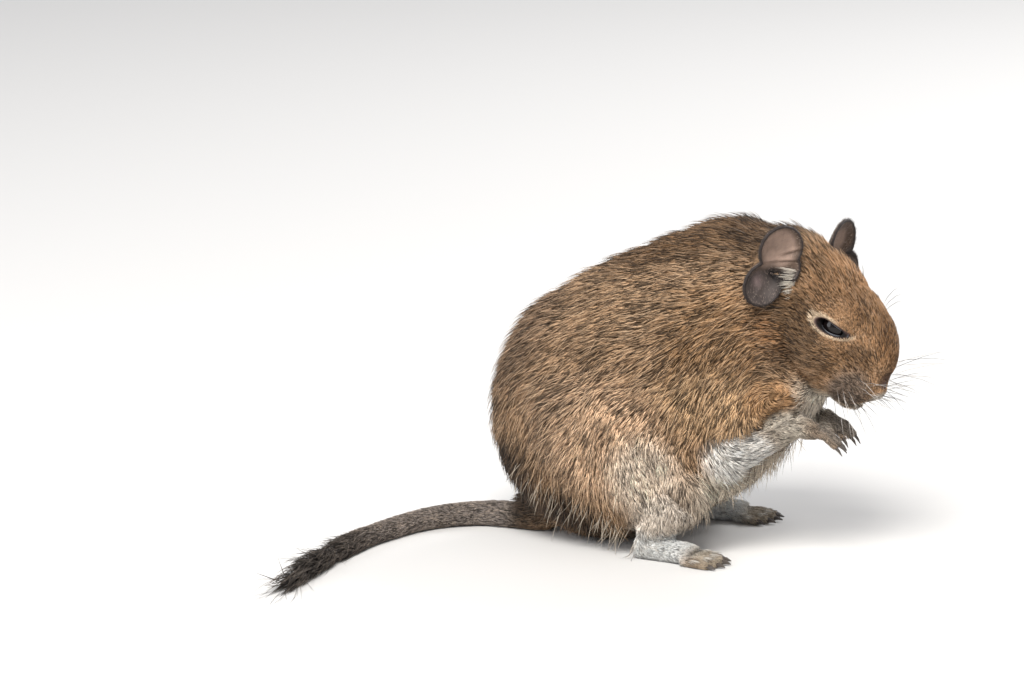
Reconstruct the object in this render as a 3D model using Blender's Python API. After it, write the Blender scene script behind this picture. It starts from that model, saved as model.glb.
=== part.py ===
"""A degu at life size, crouched on its haunches with its forepaws drawn up under the chin.

Metres, +Z up. The degu faces +X, its right side is towards -Y, and it rests on the plane z = 0.
The origin lies in the flat on which the rump sits. Every size is out to the tips of the coat.
"""

import math
import random

import bmesh
import bpy
import numpy as np
from mathutils import Matrix, Vector
from mathutils.bvhtree import BVHTree

# The gap that two nodes keep where they touch.
GAP = 0.0003

# The trunk is blended on a coarse grid and the whole flesh on a fine one, each then smoothed.
TRUNK_VOXEL = 0.0015
TRUNK_SMOOTHING = 30
FLESH_VOXEL = 0.0007
FLESH_SMOOTHING = 7

# The flesh is thinned to about so many triangles on the trunk, on the head and on the four paws.
TRUNK_TRIANGLES = 1100
HEAD_TRIANGLES = 1300
PAW_TRIANGLES = 600

# Driving dimensions of the trunk.
HALF_WIDTH = 0.0345
RUMP_TOP = 0.0875
LOIN_TOP = 0.0945
BACK_TOP = 0.0995
WITHERS_TOP = 0.1055
NAPE_TOP = 0.1100

# Ellipsoids that are blended into the trunk: centre, radii and, for those on both sides, a tilt.
TRUNK_FORMS = {
    "rump": ((-0.0095, 0, RUMP_TOP - 0.0445), (0.040, HALF_WIDTH, 0.0445)),
    "loin": ((0.0020, 0, LOIN_TOP - 0.0448), (0.041, HALF_WIDTH - 0.0005, 0.0448)),
    "back": ((0.012, 0, BACK_TOP - 0.045), (0.042, HALF_WIDTH - 0.001, 0.045)),
    "withers": ((0.0235, 0, WITHERS_TOP - 0.0425), (0.038, HALF_WIDTH - 0.003, 0.0425)),
    "shoulders": ((0.034, 0, NAPE_TOP - 0.040), (0.034, HALF_WIDTH - 0.005, 0.040)),
    "neck": ((0.052, -0.003, NAPE_TOP - 0.027), (0.021, 0.0205, 0.0255)),
    "chest": ((0.042, -0.002, 0.055), (0.017, 0.019, 0.022)),
}
LIMB_FORMS = {
    "thigh": ((-0.003, 0.0235, 0.037), (0.037, 0.0145, 0.023), math.radians(42)),
    "upper arm": ((0.036, 0.0200, 0.047), (0.0120, 0.0105, 0.0200), 0.0),
}
KNEE_FORM = ((0.019, 0.0270, 0.0210), (0.0120, 0.0090, 0.0120), math.radians(42))
TAIL_ROOT = ((-0.036, -0.0025, 0.0058), (0.012, 0.0066, 0.0064))

# The pad of flesh under the rump, whose flat holds the origin.
SEAT_FORM = ((-0.002, 0, 0.0100), (0.0150, 0.0110, 0.0130))

# The head has its own axes, from the point midway between the roots of the ears:
# x to the nose tip, y to the left and z to the crown.
HEAD_ORIGIN = Vector((0.0643, -0.0037, 0.0907))
HEAD_TURN = math.radians(-18)
HEAD_NOD = math.radians(52)
HEAD_ROLL = math.radians(-5)
HEAD_CENTRE = Vector((0.020, 0, 0.001))
HEAD_REACH = 0.0265
NECK_REACH = 0.038

EYE_RADIUS = 0.0046
EYE_PLACE = Vector((0.0162, 0.0113, 0.0014))
LID_THICKNESS = 0.0013
SLIT_PLACE = Vector((0.0166, 0.0163, 0.0018))
SLIT_SIZE = (0.0057, 0.0036, 0.0019)
SLIT_PITCH = math.radians(-24)

# Ellipsoids that are blended into the head, in its own axes: centre and radii.
HEAD_FORMS = {
    "braincase": ((0.0050, 0, -0.0030), (0.0195, 0.0155, 0.0142)),
    "forehead": ((0.0170, 0, -0.0003), (0.0175, 0.0122, 0.0129)),
    "stop": ((0.0215, 0, 0.0003), (0.0152, 0.0108, 0.0127)),
    "bridge of the nose": ((0.0250, 0, -0.0004), (0.0130, 0.0090, 0.0118)),
    "muzzle": ((0.0312, 0, -0.0056), (0.0098, 0.0085, 0.0090)),
    "nose": ((0.0363, 0, -0.0006), (0.0026, 0.0034, 0.0030)),
    "upper lip": ((0.0390, 0, -0.0050), (0.0030, 0.0044, 0.0044)),
    "chin": ((0.0300, 0, -0.0120), (0.0105, 0.0078, 0.0062)),
    "lower lip": ((0.0365, 0, -0.0120), (0.0042, 0.0042, 0.0022)),
    "throat": ((0.0200, 0, -0.0140), (0.0150, 0.0120, 0.0090)),
}
PAIRED_HEAD_FORMS = {
    "jaw": ((0.0120, 0.0080, -0.0078), (0.0175, 0.0116, 0.0132)),
    "cheek": ((0.0250, 0.0050, -0.0070), (0.0120, 0.0082, 0.0100)),
    "whisker pad": ((0.0335, 0.0042, -0.0070), (0.0070, 0.0056, 0.0064)),
    "brow": ((0.0145, 0.0092, 0.0038), (0.0080, 0.0050, 0.0046)),
    "lids": (EYE_PLACE, (EYE_RADIUS + LID_THICKNESS,) * 3),
}

MUZZLE_MIDDLE = Vector((0.030, 0, -0.0075))
MOUTH_CORNER = Vector((0.0335, 0.0080, -0.0124))
MOUTH_FRONT = Vector((0.0408, 0, -0.0101))
CLEFT_TOP = Vector((0.0418, 0, -0.0031))
MOUTH_GROOVE = 0.0006
CLEFT_GROOVE = 0.0004
NOSTRIL_PLACE = Vector((0.0397, 0.0021, -0.0006))
NOSTRIL_SIZE = (0.0016, 0.0008, 0.0006)

# Each ear has its root in the head's axes, and the share by which it faces outward.
EARS = {
    "right": {"side": -1, "root": (-0.0034, -0.0168, -0.0020), "outward": 0.45},
    "left": {"side": 1, "root": (-0.0033, 0.0143, -0.0072), "outward": 0.07},
}
EAR_DROOP = 0.136

# An ear is three discs that overlap, in axes of its own: forward and up from its root.
EAR_HUB = (-0.0078, 0.0064)
EAR_LOBES = [
    ((-0.0054, 0.0125), 0.0079),
    ((-0.0112, 0.0008), 0.0072),
    ((-0.0030, 0.0056), 0.0052),
]
EAR_STAND = 0.0025
EAR_CUP = 0.0045
EAR_THICKNESS = 0.0009
EAR_HOLLOW = 0.015
EAR_SPOKES = 28
EAR_RINGS = 3
EAR_PLUG = ((-0.0037, 0.0028, -0.0038), (0.0062, 0.0070, 0.0068))

# Limbs are tubes. A size in pairs is half a width and half a height.
LIMB_STEPS = 3
LIMB_SIDES = 12
SHANK_LINE = ((0.022, 0.0285, 0.020), (0.0170, 0.0290, 0.013), (0.0115, 0.0290, 0.0073))
SHANK_RADII = (0.0090, 0.0068, 0.0050)
SOLE_SIZES = ((0.0038, 0.0046), (0.0044, 0.0042), (0.0054, 0.0030))
ELBOW_SIZE = (0.0092, 0.0078, 0.0088)
FOREARM_RADII = (0.0080, 0.0062, 0.0040)
PALM_SIZES = ((0.0037, 0.0034), (0.0042, 0.0032), (0.0044, 0.0025))

# The hind foot lies flat, its sole along x.
HEEL = Vector((0.0085, 0.0290, 0.0043))
BALL = Vector((0.0285, 0.0320, 0.0027))
TOE_LENGTHS = (0.0060, 0.0085, 0.0095, 0.0090, 0.0072)
TOE_RADIUS = 0.0015
TOE_ROOT = 0.003
TOE_STEP = 0.0021

FINGER_LENGTHS = (0.0060, 0.0072, 0.0072, 0.0058)
FINGER_RADIUS = 0.0011
FINGER_ROOT = 0.0025
FINGER_STEP = 0.0021
FINGER_DROP = 0.0045

# Neighbouring digits fan out by this angle. A digit has its joint at a share of its length, where it
# has sunk by a share of its drop, and tapers. A claw tapers too, and its tip sinks.
DIGIT_FAN = math.radians(9)
DIGIT_JOINT = 0.55
DIGIT_SAG = 0.25
DIGIT_TAPER = (1.10, 1.05, 0.80)
DIGIT_SIDES = 8
CLAW_LENGTH = 0.0030
CLAW_SINK = 0.18
CLAW_TAPER = (0.55, 0.45, 0.10)
CLAW_SIDES = 6

# Where the limbs, the paws and the tail are parted from the trunk, for the left side.
UPPER_ARM_REGION = ((0.036, 0.0320, 0.047), (0.0150, 0.0150, 0.0230))
FOREARM_REGION_ENDS = (0.009, 0.003)
FOREARM_REGION_RADII = (0.0090, 0.0110, 0.0066, 0.0060)
FOREPAW_REACH = (0.0090, 0.0070, 0.0080)
FOREPAW_AHEAD = Vector((0.0025, 0, 0))
FOREPAW_ZONE = 0.012
THIGH_REGION = ((0.000, 0.0430, 0.031), (0.0360, 0.0225, 0.0350))
KNEE_REGION = ((0.018, 0.0310, 0.015), (0.0180, 0.0125, 0.0180))
ANKLE_CUT = 0.0080
FOOT_INSIDE = 0.0235
FOOT_REGION = ((-0.004, FOOT_INSIDE, -0.010), (0.050, 0.045, ANKLE_CUT))
TAIL_START = -0.0410
TAIL_CUT = ((-0.060, -0.012, -0.010), (TAIL_START, 0.012, 0.0135))
BELOW_FLOOR = ((-0.10, -0.06, -0.02), (0.12, 0.06, 0.0))

# The tail lies along the floor and curls to the degu's right. It is cut in three at these shares.
TAIL_ROUTE = ((-41, -3), (-55, -3.5), (-69, -14), (-79, -36), (-84, -60), (-86, -86), (-86, -104))
TAIL_RADII = (0.0047, 0.0042, 0.0037, 0.0033, 0.0030, 0.0028, 0.0016)
TAIL_CUTS = (0.35, 0.68)
TAIL_SIDES = 10
TAIL_RINGS = 10

# The tuft: rings of locks that start at these shares of the last length of the tail.
LOCK_RINGS = (0.12, 0.40, 0.68, 0.95)
LOCKS_IN_RING = 5
TUFT_SEED = 7
LOCK_LENGTH = 0.0180
LOCK_WIDTH = 0.0018
LOCK_THICKNESS = 0.0008
LOCK_SWELL = 0.0030
LOCK_ARC = math.radians(122)
LOCK_SHARES = (0.0, 0.30, 0.72, 1.0)
LOCK_WIDTH_SHARES = (0.60, 1.0, 0.85, 0.12)
LOCK_THICKNESS_SHARES = (0.8, 1.0, 0.8, 0.15)

MILLIMETRE = 0.001

# Colour, roughness of each material.
FINISHES = {
    "brown_fur": ((0.30, 0.19, 0.10), 0.85),
    "pale_fur": ((0.52, 0.44, 0.34), 0.85),
    "foot_fur": ((0.62, 0.56, 0.50), 0.80),
    "tail_fur": ((0.10, 0.09, 0.085), 0.85),
    "ear_skin": ((0.36, 0.27, 0.25), 0.60),
    "eye": ((0.010, 0.008, 0.008), 0.08),
    "claw": ((0.09, 0.075, 0.065), 0.40),
}


def head_frame():
    """The head's own axes in the degu's frame."""
    turned = Matrix.Rotation(HEAD_TURN, 4, "Z") @ Matrix.Rotation(HEAD_NOD, 4, "Y")
    return Matrix.Translation(HEAD_ORIGIN) @ turned @ Matrix.Rotation(HEAD_ROLL, 4, "X")


HEAD = head_frame()


def clear_scene():
    """Removes what the file opened with."""
    for thing in list(bpy.data.objects):
        bpy.data.objects.remove(thing, do_unlink=True)


def remove(things):
    """Removes objects that have been used up."""
    for thing in things:
        bpy.data.objects.remove(thing, do_unlink=True)


def object_from(name, form, facing=None):
    """A new object made from a bmesh, which is then freed. An open sheet is turned to its facing."""
    if facing is None:
        bmesh.ops.recalc_face_normals(form, faces=form.faces)
    else:
        form.normal_update()
        if sum((face.normal for face in form.faces), Vector()).dot(facing) < 0:
            bmesh.ops.reverse_faces(form, faces=form.faces)
    mesh = bpy.data.meshes.new(name)
    form.to_mesh(mesh)
    form.free()
    thing = bpy.data.objects.new(name, mesh)
    bpy.context.scene.collection.objects.link(thing)
    return thing


def copied(thing):
    """A second object with its own copy of the mesh."""
    twin = thing.copy()
    twin.data = thing.data.copy()
    bpy.context.scene.collection.objects.link(twin)
    return twin


def applied(thing):
    """Bakes an object's modifiers into its mesh."""
    graph = bpy.context.evaluated_depsgraph_get()
    mesh = bpy.data.meshes.new_from_object(thing.evaluated_get(graph))
    thing.modifiers.clear()
    thing.data = mesh
    return thing


def largest(thing):
    """Keeps only the object's largest closed surface."""
    form = bmesh.new()
    form.from_mesh(thing.data)
    left, best = set(form.verts), set()
    while left:
        found, edge = set(), [left.pop()]
        while edge:
            vertex = edge.pop()
            found.add(vertex)
            near = {link.other_vert(vertex) for link in vertex.link_edges} & left
            left -= near
            edge.extend(near)
        best = max(best, found, key=len)
    loose = [vertex for vertex in form.verts if vertex not in best]
    bmesh.ops.delete(form, geom=loose, context="VERTS")
    form.to_mesh(thing.data)
    form.free()
    return thing


def combined(thing, others, operation):
    """Joins, cuts or crops thing with the others, which are then removed."""
    group = bpy.data.collections.new("operands")
    for other in others:
        group.objects.link(other)
    modifier = thing.modifiers.new("combined", "BOOLEAN")
    modifier.operand_type = "COLLECTION"
    modifier.collection = group
    modifier.operation = operation
    modifier.solver = "EXACT"
    applied(thing)
    remove(others)
    bpy.data.collections.remove(group)
    return largest(thing)


def carved(whole, region, name):
    """Takes out of whole the piece inside region(grow) and leaves the gap between the two."""
    piece = combined(copied(whole), [region(0.0)], "INTERSECT")
    combined(whole, [region(GAP)], "DIFFERENCE")
    piece.name = name
    return piece


def ellipsoid(centre, radii, tilt=0.0, frame=None, detail=4, grow=0.0):
    """A closed ellipsoid, tilted about its own Y axis and placed in a frame such as the head's."""
    form = bmesh.new()
    bmesh.ops.create_icosphere(form, subdivisions=detail, radius=1.0)
    size = Matrix.Diagonal((*(radius + grow for radius in radii), 1.0))
    place = Matrix.Translation(centre) @ Matrix.Rotation(tilt, 4, "Y") @ size
    form.transform(frame @ place if frame else place)
    return object_from("ellipsoid", form)


def on_side(point, side):
    """A point of the left side on the side asked for."""
    x, y, z = point
    return Vector((x, side * y, z))


def both_sides(centre, radii, **options):
    """The same ellipsoid on the right and on the left."""
    return [ellipsoid(on_side(centre, side), radii, **options) for side in (-1, 1)]


def box(low, high, grow=0.0):
    """A closed box between two corners."""
    form = bmesh.new()
    bmesh.ops.create_cube(form, size=1.0)
    margin = Vector((grow, grow, grow))
    low, high = Vector(low) - margin, Vector(high) + margin
    form.transform(Matrix.Translation((low + high) / 2) @ Matrix.Diagonal((*(high - low), 1.0)))
    return object_from("box", form)


def smooth_path(points, steps):
    """A Catmull-Rom curve through the points, with so many steps between each two."""
    points = [Vector(point) for point in points]
    padded = [2 * points[0] - points[1], *points, 2 * points[-1] - points[-2]]
    found = []
    for k in range(len(points) - 1):
        a, b, c, d = padded[k : k + 4]
        for t in np.linspace(0, 1, steps, endpoint=False):
            bend = (2 * a - 5 * b + 4 * c - d) * t**2
            twist = (3 * b - a - 3 * c + d) * t**3
            found.append((2 * b + (c - a) * t + bend + twist) / 2)
    return [*found, points[-1]]


def spread(sizes, count):
    """A list of count values read evenly from a shorter one."""
    places = np.linspace(0, len(sizes) - 1, count)
    return [float(value) for value in np.interp(places, range(len(sizes)), sizes)]


def ring(form, centre, along, size, sides, turn):
    """One ring of vertices across a path. A size is a radius, or half a width and half a height."""
    across, high = size if isinstance(size, tuple) else (size, size)
    side = along.cross(Vector((0, 0, 1))).normalized()
    lift = side.cross(along).normalized()
    angles = [turn + 2 * math.pi * k / sides for k in range(sides)]
    corners = [centre + side * across * math.cos(a) + lift * high * math.sin(a) for a in angles]
    return [form.verts.new(corner) for corner in corners]


def tube(path, sizes, sides, turn=0.0, level=False, ways=None):
    """A closed loft along a path. Where it is level, every ring stands upright."""
    form = bmesh.new()
    rings = []
    last = len(path) - 1
    for k, (point, size) in enumerate(zip(path, sizes, strict=True)):
        along = path[min(k + 1, last)] - path[max(k - 1, 0)] if ways is None else ways[k].copy()
        if level:
            along.z = 0
        rings.append(ring(form, point, along.normalized(), size, sides, turn))
    for one, two in zip(rings, rings[1:], strict=False):
        for k in range(sides):
            j = (k + 1) % sides
            form.faces.new((one[k], one[j], two[j], two[k]))
    form.faces.new(rings[0][::-1])
    form.faces.new(rings[-1])
    return object_from("tube", form)


def blended(forms, voxel, smoothing):
    """One smooth closed surface over all the forms."""
    form = bmesh.new()
    for thing in forms:
        form.from_mesh(thing.data)
    remove(forms)
    whole = object_from("flesh", form)
    grid = whole.modifiers.new("grid", "REMESH")
    grid.mode = "VOXEL"
    grid.voxel_size = voxel
    even = whole.modifiers.new("even", "SMOOTH")
    even.factor = 0.5
    even.iterations = smoothing
    return largest(applied(whole))


def thinned(whole, region, triangles):
    """Thins the surface where region(point) is true to about so many triangles."""
    inside = [vertex.index for vertex in whole.data.vertices if region(vertex.co)]
    chosen = set(inside)
    faces = [len(face.vertices) - 2 for face in whole.data.polygons]
    within = [all(v in chosen for v in face.vertices) for face in whole.data.polygons]
    rest = sum(count for count, is_within in zip(faces, within, strict=True) if not is_within)
    group = whole.vertex_groups.new(name="thinned")
    group.add(inside, 1.0, "REPLACE")
    thin = whole.modifiers.new("thin", "DECIMATE")
    thin.ratio = (rest + triangles) / sum(faces)
    thin.vertex_group = group.name
    applied(whole)
    whole.vertex_groups.clear()


def trunk():
    """Rump, back, shoulders, thighs and upper arms, blended into one smooth form."""
    forms = [ellipsoid(centre, radii) for centre, radii in TRUNK_FORMS.values()]
    for centre, radii, tilt in LIMB_FORMS.values():
        forms += both_sides(centre, radii, tilt=tilt)
    return blended(forms, TRUNK_VOXEL, TRUNK_SMOOTHING)


def head_forms():
    """The head's ellipsoids, placed but not yet blended."""
    forms = [ellipsoid(centre, radii, frame=HEAD) for centre, radii in HEAD_FORMS.values()]
    for centre, radii in PAIRED_HEAD_FORMS.values():
        forms += both_sides(centre, radii, frame=HEAD)
    return forms


def limb_tube(points, sizes):
    """A round or oval length of a limb, along a smooth line through three points."""
    path = smooth_path(points, LIMB_STEPS)
    if isinstance(sizes[0], tuple):
        widths, heights = (spread(values, len(path)) for values in zip(*sizes, strict=True))
        return tube(path, list(zip(widths, heights, strict=True)), LIMB_SIDES)
    return tube(path, spread(sizes, len(path)), LIMB_SIDES)


def hind_leg_forms(side):
    """Knee, shank and the long sole. The thigh is in the trunk."""
    centre, radii, tilt = KNEE_FORM
    knee = ellipsoid(on_side(centre, side), radii, tilt=tilt)
    heel, ball = on_side(HEEL, side), on_side(BALL, side)
    shank = limb_tube([on_side(point, side) for point in SHANK_LINE], SHANK_RADII)
    sole = limb_tube([heel, (heel + ball) / 2, ball], SOLE_SIZES)
    return [knee, shank, sole]


def foreleg_forms(arm):
    """Elbow, forearm and palm. The upper arm is in the trunk."""
    elbow, wrist, palm = (Vector(arm[name]) for name in ("elbow", "wrist", "palm"))
    forearm = limb_tube([elbow, (elbow + wrist) / 2, wrist], FOREARM_RADII)
    hand = limb_tube([wrist, (wrist + palm) / 2, palm], PALM_SIZES)
    return [ellipsoid(elbow, ELBOW_SIZE), forearm, hand]


ARMS = {
    "right": {
        "side": -1,
        "elbow": (0.0340, -0.0215, 0.0340),
        "wrist": (0.0580, -0.0172, 0.0450),
        "palm": (0.0655, -0.0152, 0.0430),
    },
    "left": {
        "side": 1,
        "elbow": (0.0350, 0.0195, 0.0340),
        "wrist": (0.0580, 0.0060, 0.0445),
        "palm": (0.0655, 0.0020, 0.0425),
    },
}
SIDES = {"right": -1, "left": 1}


def on_head(point):
    """Whether a point lies on the head or just behind it."""
    return (point - HEAD @ HEAD_CENTRE).length < HEAD_REACH + 0.002


def on_paw(point):
    """Whether a point lies on a forepaw or a hind foot."""
    is_fore = any((point - Vector(arm["palm"])).length < FOREPAW_ZONE for arm in ARMS.values())
    is_hind = point.z < ANKLE_CUT + 0.001 and abs(point.y) > FOOT_INSIDE
    return not on_head(point) and (is_fore or is_hind)


def on_trunk(point):
    """Whether a point lies anywhere else."""
    return not on_head(point) and not on_paw(point)


def flesh_form():
    """The whole degu but its digits, ears and tail, blended, cut level with the floor and thinned."""
    forms = [trunk(), *head_forms(), ellipsoid(*TAIL_ROOT), ellipsoid(*SEAT_FORM)]
    for side in SIDES.values():
        forms += hind_leg_forms(side)
    for arm in ARMS.values():
        forms += foreleg_forms(arm)
    flesh = blended(forms, FLESH_VOXEL, FLESH_SMOOTHING)
    thinned(flesh, on_trunk, TRUNK_TRIANGLES)
    thinned(flesh, on_head, HEAD_TRIANGLES)
    thinned(flesh, on_paw, PAW_TRIANGLES)
    return combined(flesh, [box(*BELOW_FLOOR), box(*TAIL_CUT)], "DIFFERENCE")


def forepaw_region(arm):
    """The space round a palm."""
    centre = Vector(arm["palm"]) + FOREPAW_AHEAD

    def region(grow):
        return ellipsoid(centre, FOREPAW_REACH, detail=3, grow=grow)

    return region


def foreleg_region(arm):
    """The space round an upper arm and a forearm."""
    elbow, wrist = Vector(arm["elbow"]), Vector(arm["wrist"])
    way = (wrist - elbow).normalized()
    centre, reach = UPPER_ARM_REGION
    behind, ahead = FOREARM_REGION_ENDS

    def region(grow):
        upper = ellipsoid(on_side(centre, arm["side"]), reach, detail=3, grow=grow)
        ends = [elbow - way * (behind + grow), elbow, wrist, wrist + way * (ahead + grow)]
        radii = [radius + grow for radius in FOREARM_REGION_RADII]
        return combined(upper, [tube(ends, radii, 16)], "UNION")

    return region


def foot_region(side):
    """The space below an ankle."""
    (behind, near, low), (ahead, far, high) = FOOT_REGION
    near, far = sorted((side * near, side * far))

    def region(grow):
        return box((behind, near, low), (ahead, far, high), grow)

    return region


def hind_leg_region(side):
    """The space round a thigh, knee and shank."""

    def region(grow):
        thigh, knee = (
            ellipsoid(on_side(centre, side), reach, detail=3, grow=grow)
            for centre, reach in (THIGH_REGION, KNEE_REGION)
        )
        return combined(thigh, [knee], "UNION")

    return region


def reach_region(reach):
    """A ball about the middle of the head."""

    def region(grow):
        return ellipsoid(HEAD @ HEAD_CENTRE, (reach,) * 3, detail=3, grow=grow)

    return region


def digit(root, heading, length, radius, drop, is_level):
    """A toe or a finger and its claw, face to face. A level toe has a flat along the floor."""
    down = Vector((0, 0, -drop))
    joint = root + heading * length * DIGIT_JOINT + down * DIGIT_SAG
    path = smooth_path([root, joint, root + heading * length + down], 1 if is_level else 2)
    sizes = spread([radius * share for share in DIGIT_TAPER], len(path))
    facet = math.cos(math.pi / DIGIT_SIDES)
    if is_level:
        for point, size in zip(path, sizes, strict=True):
            point.z = size * facet
    toe = tube(path, sizes, DIGIT_SIDES, turn=math.pi / DIGIT_SIDES, level=is_level)
    way = heading if is_level else (path[-1] - path[-2]).normalized()
    start = path[-1] + way * GAP
    tip = start + way * CLAW_LENGTH - Vector((0, 0, CLAW_SINK * CLAW_LENGTH))
    nail = [start, start + way * CLAW_LENGTH / 2, tip]
    widths = [radius * share for share in CLAW_TAPER]
    return toe, tube(nail, widths, CLAW_SIDES, turn=math.pi / CLAW_SIDES)


def toes_and_claws(side):
    """Five toes that fan out from the ball of a hind foot, the innermost first."""
    pairs = []
    for k, length in enumerate(TOE_LENGTHS):
        place = k - (len(TOE_LENGTHS) - 1) / 2
        fan = side * DIGIT_FAN * place
        heading = Vector((math.cos(fan), math.sin(fan), 0))
        root = on_side(BALL, side) + Vector((-TOE_ROOT, side * TOE_STEP * place, 0))
        pairs.append(digit(root, heading, length + TOE_ROOT, TOE_RADIUS, 0, True))
    return pairs


def fingers_and_claws(arm):
    """Four fingers that hang from the palm of a forepaw, the outermost first."""
    wrist, palm = Vector(arm["wrist"]), Vector(arm["palm"])
    way = (palm - wrist).normalized()
    flat = math.atan2(way.y, way.x)
    across = Vector((-math.sin(flat), math.cos(flat), 0)) * -arm["side"]
    pairs = []
    for k, length in enumerate(FINGER_LENGTHS):
        place = k - (len(FINGER_LENGTHS) - 1) / 2
        fan = flat - arm["side"] * DIGIT_FAN * place
        heading = Vector((math.cos(fan), math.sin(fan), 0))
        root = palm - way * FINGER_ROOT + across * FINGER_STEP * place
        pairs.append(digit(root, heading, length + FINGER_ROOT, FINGER_RADIUS, FINGER_DROP, False))
    return pairs


def far_point(angle, hub, disc):
    """How far from the hub a ray at an angle leaves a disc that holds the hub."""
    (x, y), radius = disc
    offset = Vector((x - hub[0], y - hub[1]))
    along = offset.dot(Vector((math.cos(angle), math.sin(angle))))
    return along + math.sqrt(radius**2 - offset.length_squared + along**2)


def ear_axes(spec):
    """An ear's own axes: forward, up and out of its opening, from its root."""
    turned = Matrix.Rotation(HEAD_TURN, 3, "Z")
    ahead, outward = turned @ Vector((1, 0, 0)), turned @ Vector((0, spec["side"], 0))
    aside, onward = spec["outward"], math.sqrt(1 - spec["outward"] ** 2)
    facing = (onward * ahead + aside * outward - Vector((0, 0, EAR_DROOP))).normalized()
    forward = (aside * ahead - onward * outward).normalized()
    up = (forward.cross(facing) * spec["side"]).normalized()
    axes = Matrix((forward, up, facing)).transposed().to_4x4()
    return Matrix.Translation(HEAD @ Vector(spec["root"])) @ axes


def ear_sheet(axes, shift):
    """The inner face of an ear's cup, in triangles, shifted along the way that it faces."""
    form = bmesh.new()
    hub = form.verts.new((*EAR_HUB, EAR_STAND - EAR_CUP + shift))
    rings = []
    for share in np.linspace(0, 1, EAR_RINGS + 1)[1:]:
        corners = []
        for angle in np.linspace(0, 2 * math.pi, EAR_SPOKES, endpoint=False):
            reach = max(far_point(angle, EAR_HUB, lobe) for lobe in EAR_LOBES)
            a = EAR_HUB[0] + share * reach * math.cos(angle)
            b = EAR_HUB[1] + share * reach * math.sin(angle)
            corners.append(form.verts.new((a, b, EAR_STAND - EAR_CUP * (1 - share**2) + shift)))
        rings.append(corners)
    for k in range(EAR_SPOKES):
        j = (k + 1) % EAR_SPOKES
        form.faces.new((hub, rings[0][k], rings[0][j]))
        for one, two in zip(rings, rings[1:], strict=False):
            form.faces.new((one[k], two[k], two[j]))
            form.faces.new((one[k], two[j], one[j]))
    form.transform(axes)
    return form


def ear(spec):
    """The cup of an ear on the plug of flesh that bears it, with nothing of the plug inside the cup."""
    axes = ear_axes(spec)
    facing = axes.to_3x3() @ Vector((0, 0, 1))
    cup = object_from("ear", ear_sheet(axes, 0.0), facing)
    shell = cup.modifiers.new("shell", "SOLIDIFY")
    shell.thickness = EAR_THICKNESS
    shell.offset = -1
    applied(cup)
    hollow = ear_sheet(axes, -EAR_THICKNESS / 2)
    grown = bmesh.ops.extrude_face_region(hollow, geom=hollow.faces)["geom"]
    raised = [part for part in grown if isinstance(part, bmesh.types.BMVert)]
    bmesh.ops.translate(hollow, verts=raised, vec=facing * EAR_HOLLOW)
    plug = ellipsoid(*EAR_PLUG, frame=axes, detail=3)
    combined(plug, [object_from("hollow", hollow)], "DIFFERENCE")
    return combined(cup, [plug], "UNION")


def mouth_cutters(head):
    """Grooves for the mouth and the cleft of the lip, laid on the head's surface, and the nostrils."""
    surface = BVHTree.FromObject(head, bpy.context.evaluated_depsgraph_get())

    def groove(targets, radius):
        middle = HEAD @ MUZZLE_MIDDLE
        aims = [(HEAD @ Vector(target) - middle).normalized() for target in targets]
        path = [surface.ray_cast(middle, aim)[0] for aim in aims]
        return tube(path, [radius] * len(path), 6)

    corners = [on_side(MOUTH_CORNER, side) for side in (-1, 1)]
    bow = [corners[0].lerp(MOUTH_FRONT, share) for share in (0, 0.25, 0.5, 0.75, 1)]
    bow += [MOUTH_FRONT.lerp(corners[1], share) for share in (0.25, 0.5, 0.75, 1)]
    cleft = [MOUTH_FRONT.lerp(CLEFT_TOP, share) for share in (0, 0.33, 0.67, 1)]
    nostrils = both_sides(NOSTRIL_PLACE, NOSTRIL_SIZE, frame=HEAD, detail=2)
    return [groove(bow, MOUTH_GROOVE), groove(cleft, CLEFT_GROOVE), *nostrils]


def eye_cutters():
    """The two sockets and the slits between the lids."""
    sockets = both_sides(EYE_PLACE, (EYE_RADIUS,) * 3, frame=HEAD, detail=3, grow=GAP)
    slits = both_sides(SLIT_PLACE, SLIT_SIZE, frame=HEAD, detail=3, tilt=SLIT_PITCH)
    return sockets + slits


def tail_lengths():
    """The tail as three lengths that meet face to face, and its last length's middle line."""
    points = smooth_path([Vector((x, y, 0)) * MILLIMETRE for x, y in TAIL_ROUTE], 8)
    steps = [(b - a).length for a, b in zip(points, points[1:], strict=False)]
    lengths = np.concatenate([[0], np.cumsum(steps)])
    radii = spread(TAIL_RADII, len(points))

    def read(at):
        x, y = (float(np.interp(at, lengths, [p[axis] for p in points])) for axis in (0, 1))
        return Vector((x, y, 0))

    def section(at):
        radius = float(np.interp(at, lengths, radii))
        way = (read(at + MILLIMETRE) - read(at - MILLIMETRE)).normalized()
        return read(at) + Vector((0, 0, radius * math.cos(math.pi / TAIL_SIDES))), way, radius

    cuts = [0.0, *(share * lengths[-1] for share in TAIL_CUTS), lengths[-1]]
    pieces = []
    for k in range(len(cuts) - 1):
        low = cuts[k] + (GAP if k == 0 else GAP / 2)
        high = cuts[k + 1] - (GAP / 2 if k < len(TAIL_CUTS) else 0)
        sections = [section(at) for at in np.linspace(low, high, TAIL_RINGS)]
        path, ways, sizes = zip(*sections, strict=True)
        pieces.append(tube(path, sizes, TAIL_SIDES, turn=math.pi / 2 + math.pi / TAIL_SIDES, ways=ways))
    return pieces, [section(at) for at in np.linspace(cuts[-2], cuts[-1], 40)]


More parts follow.
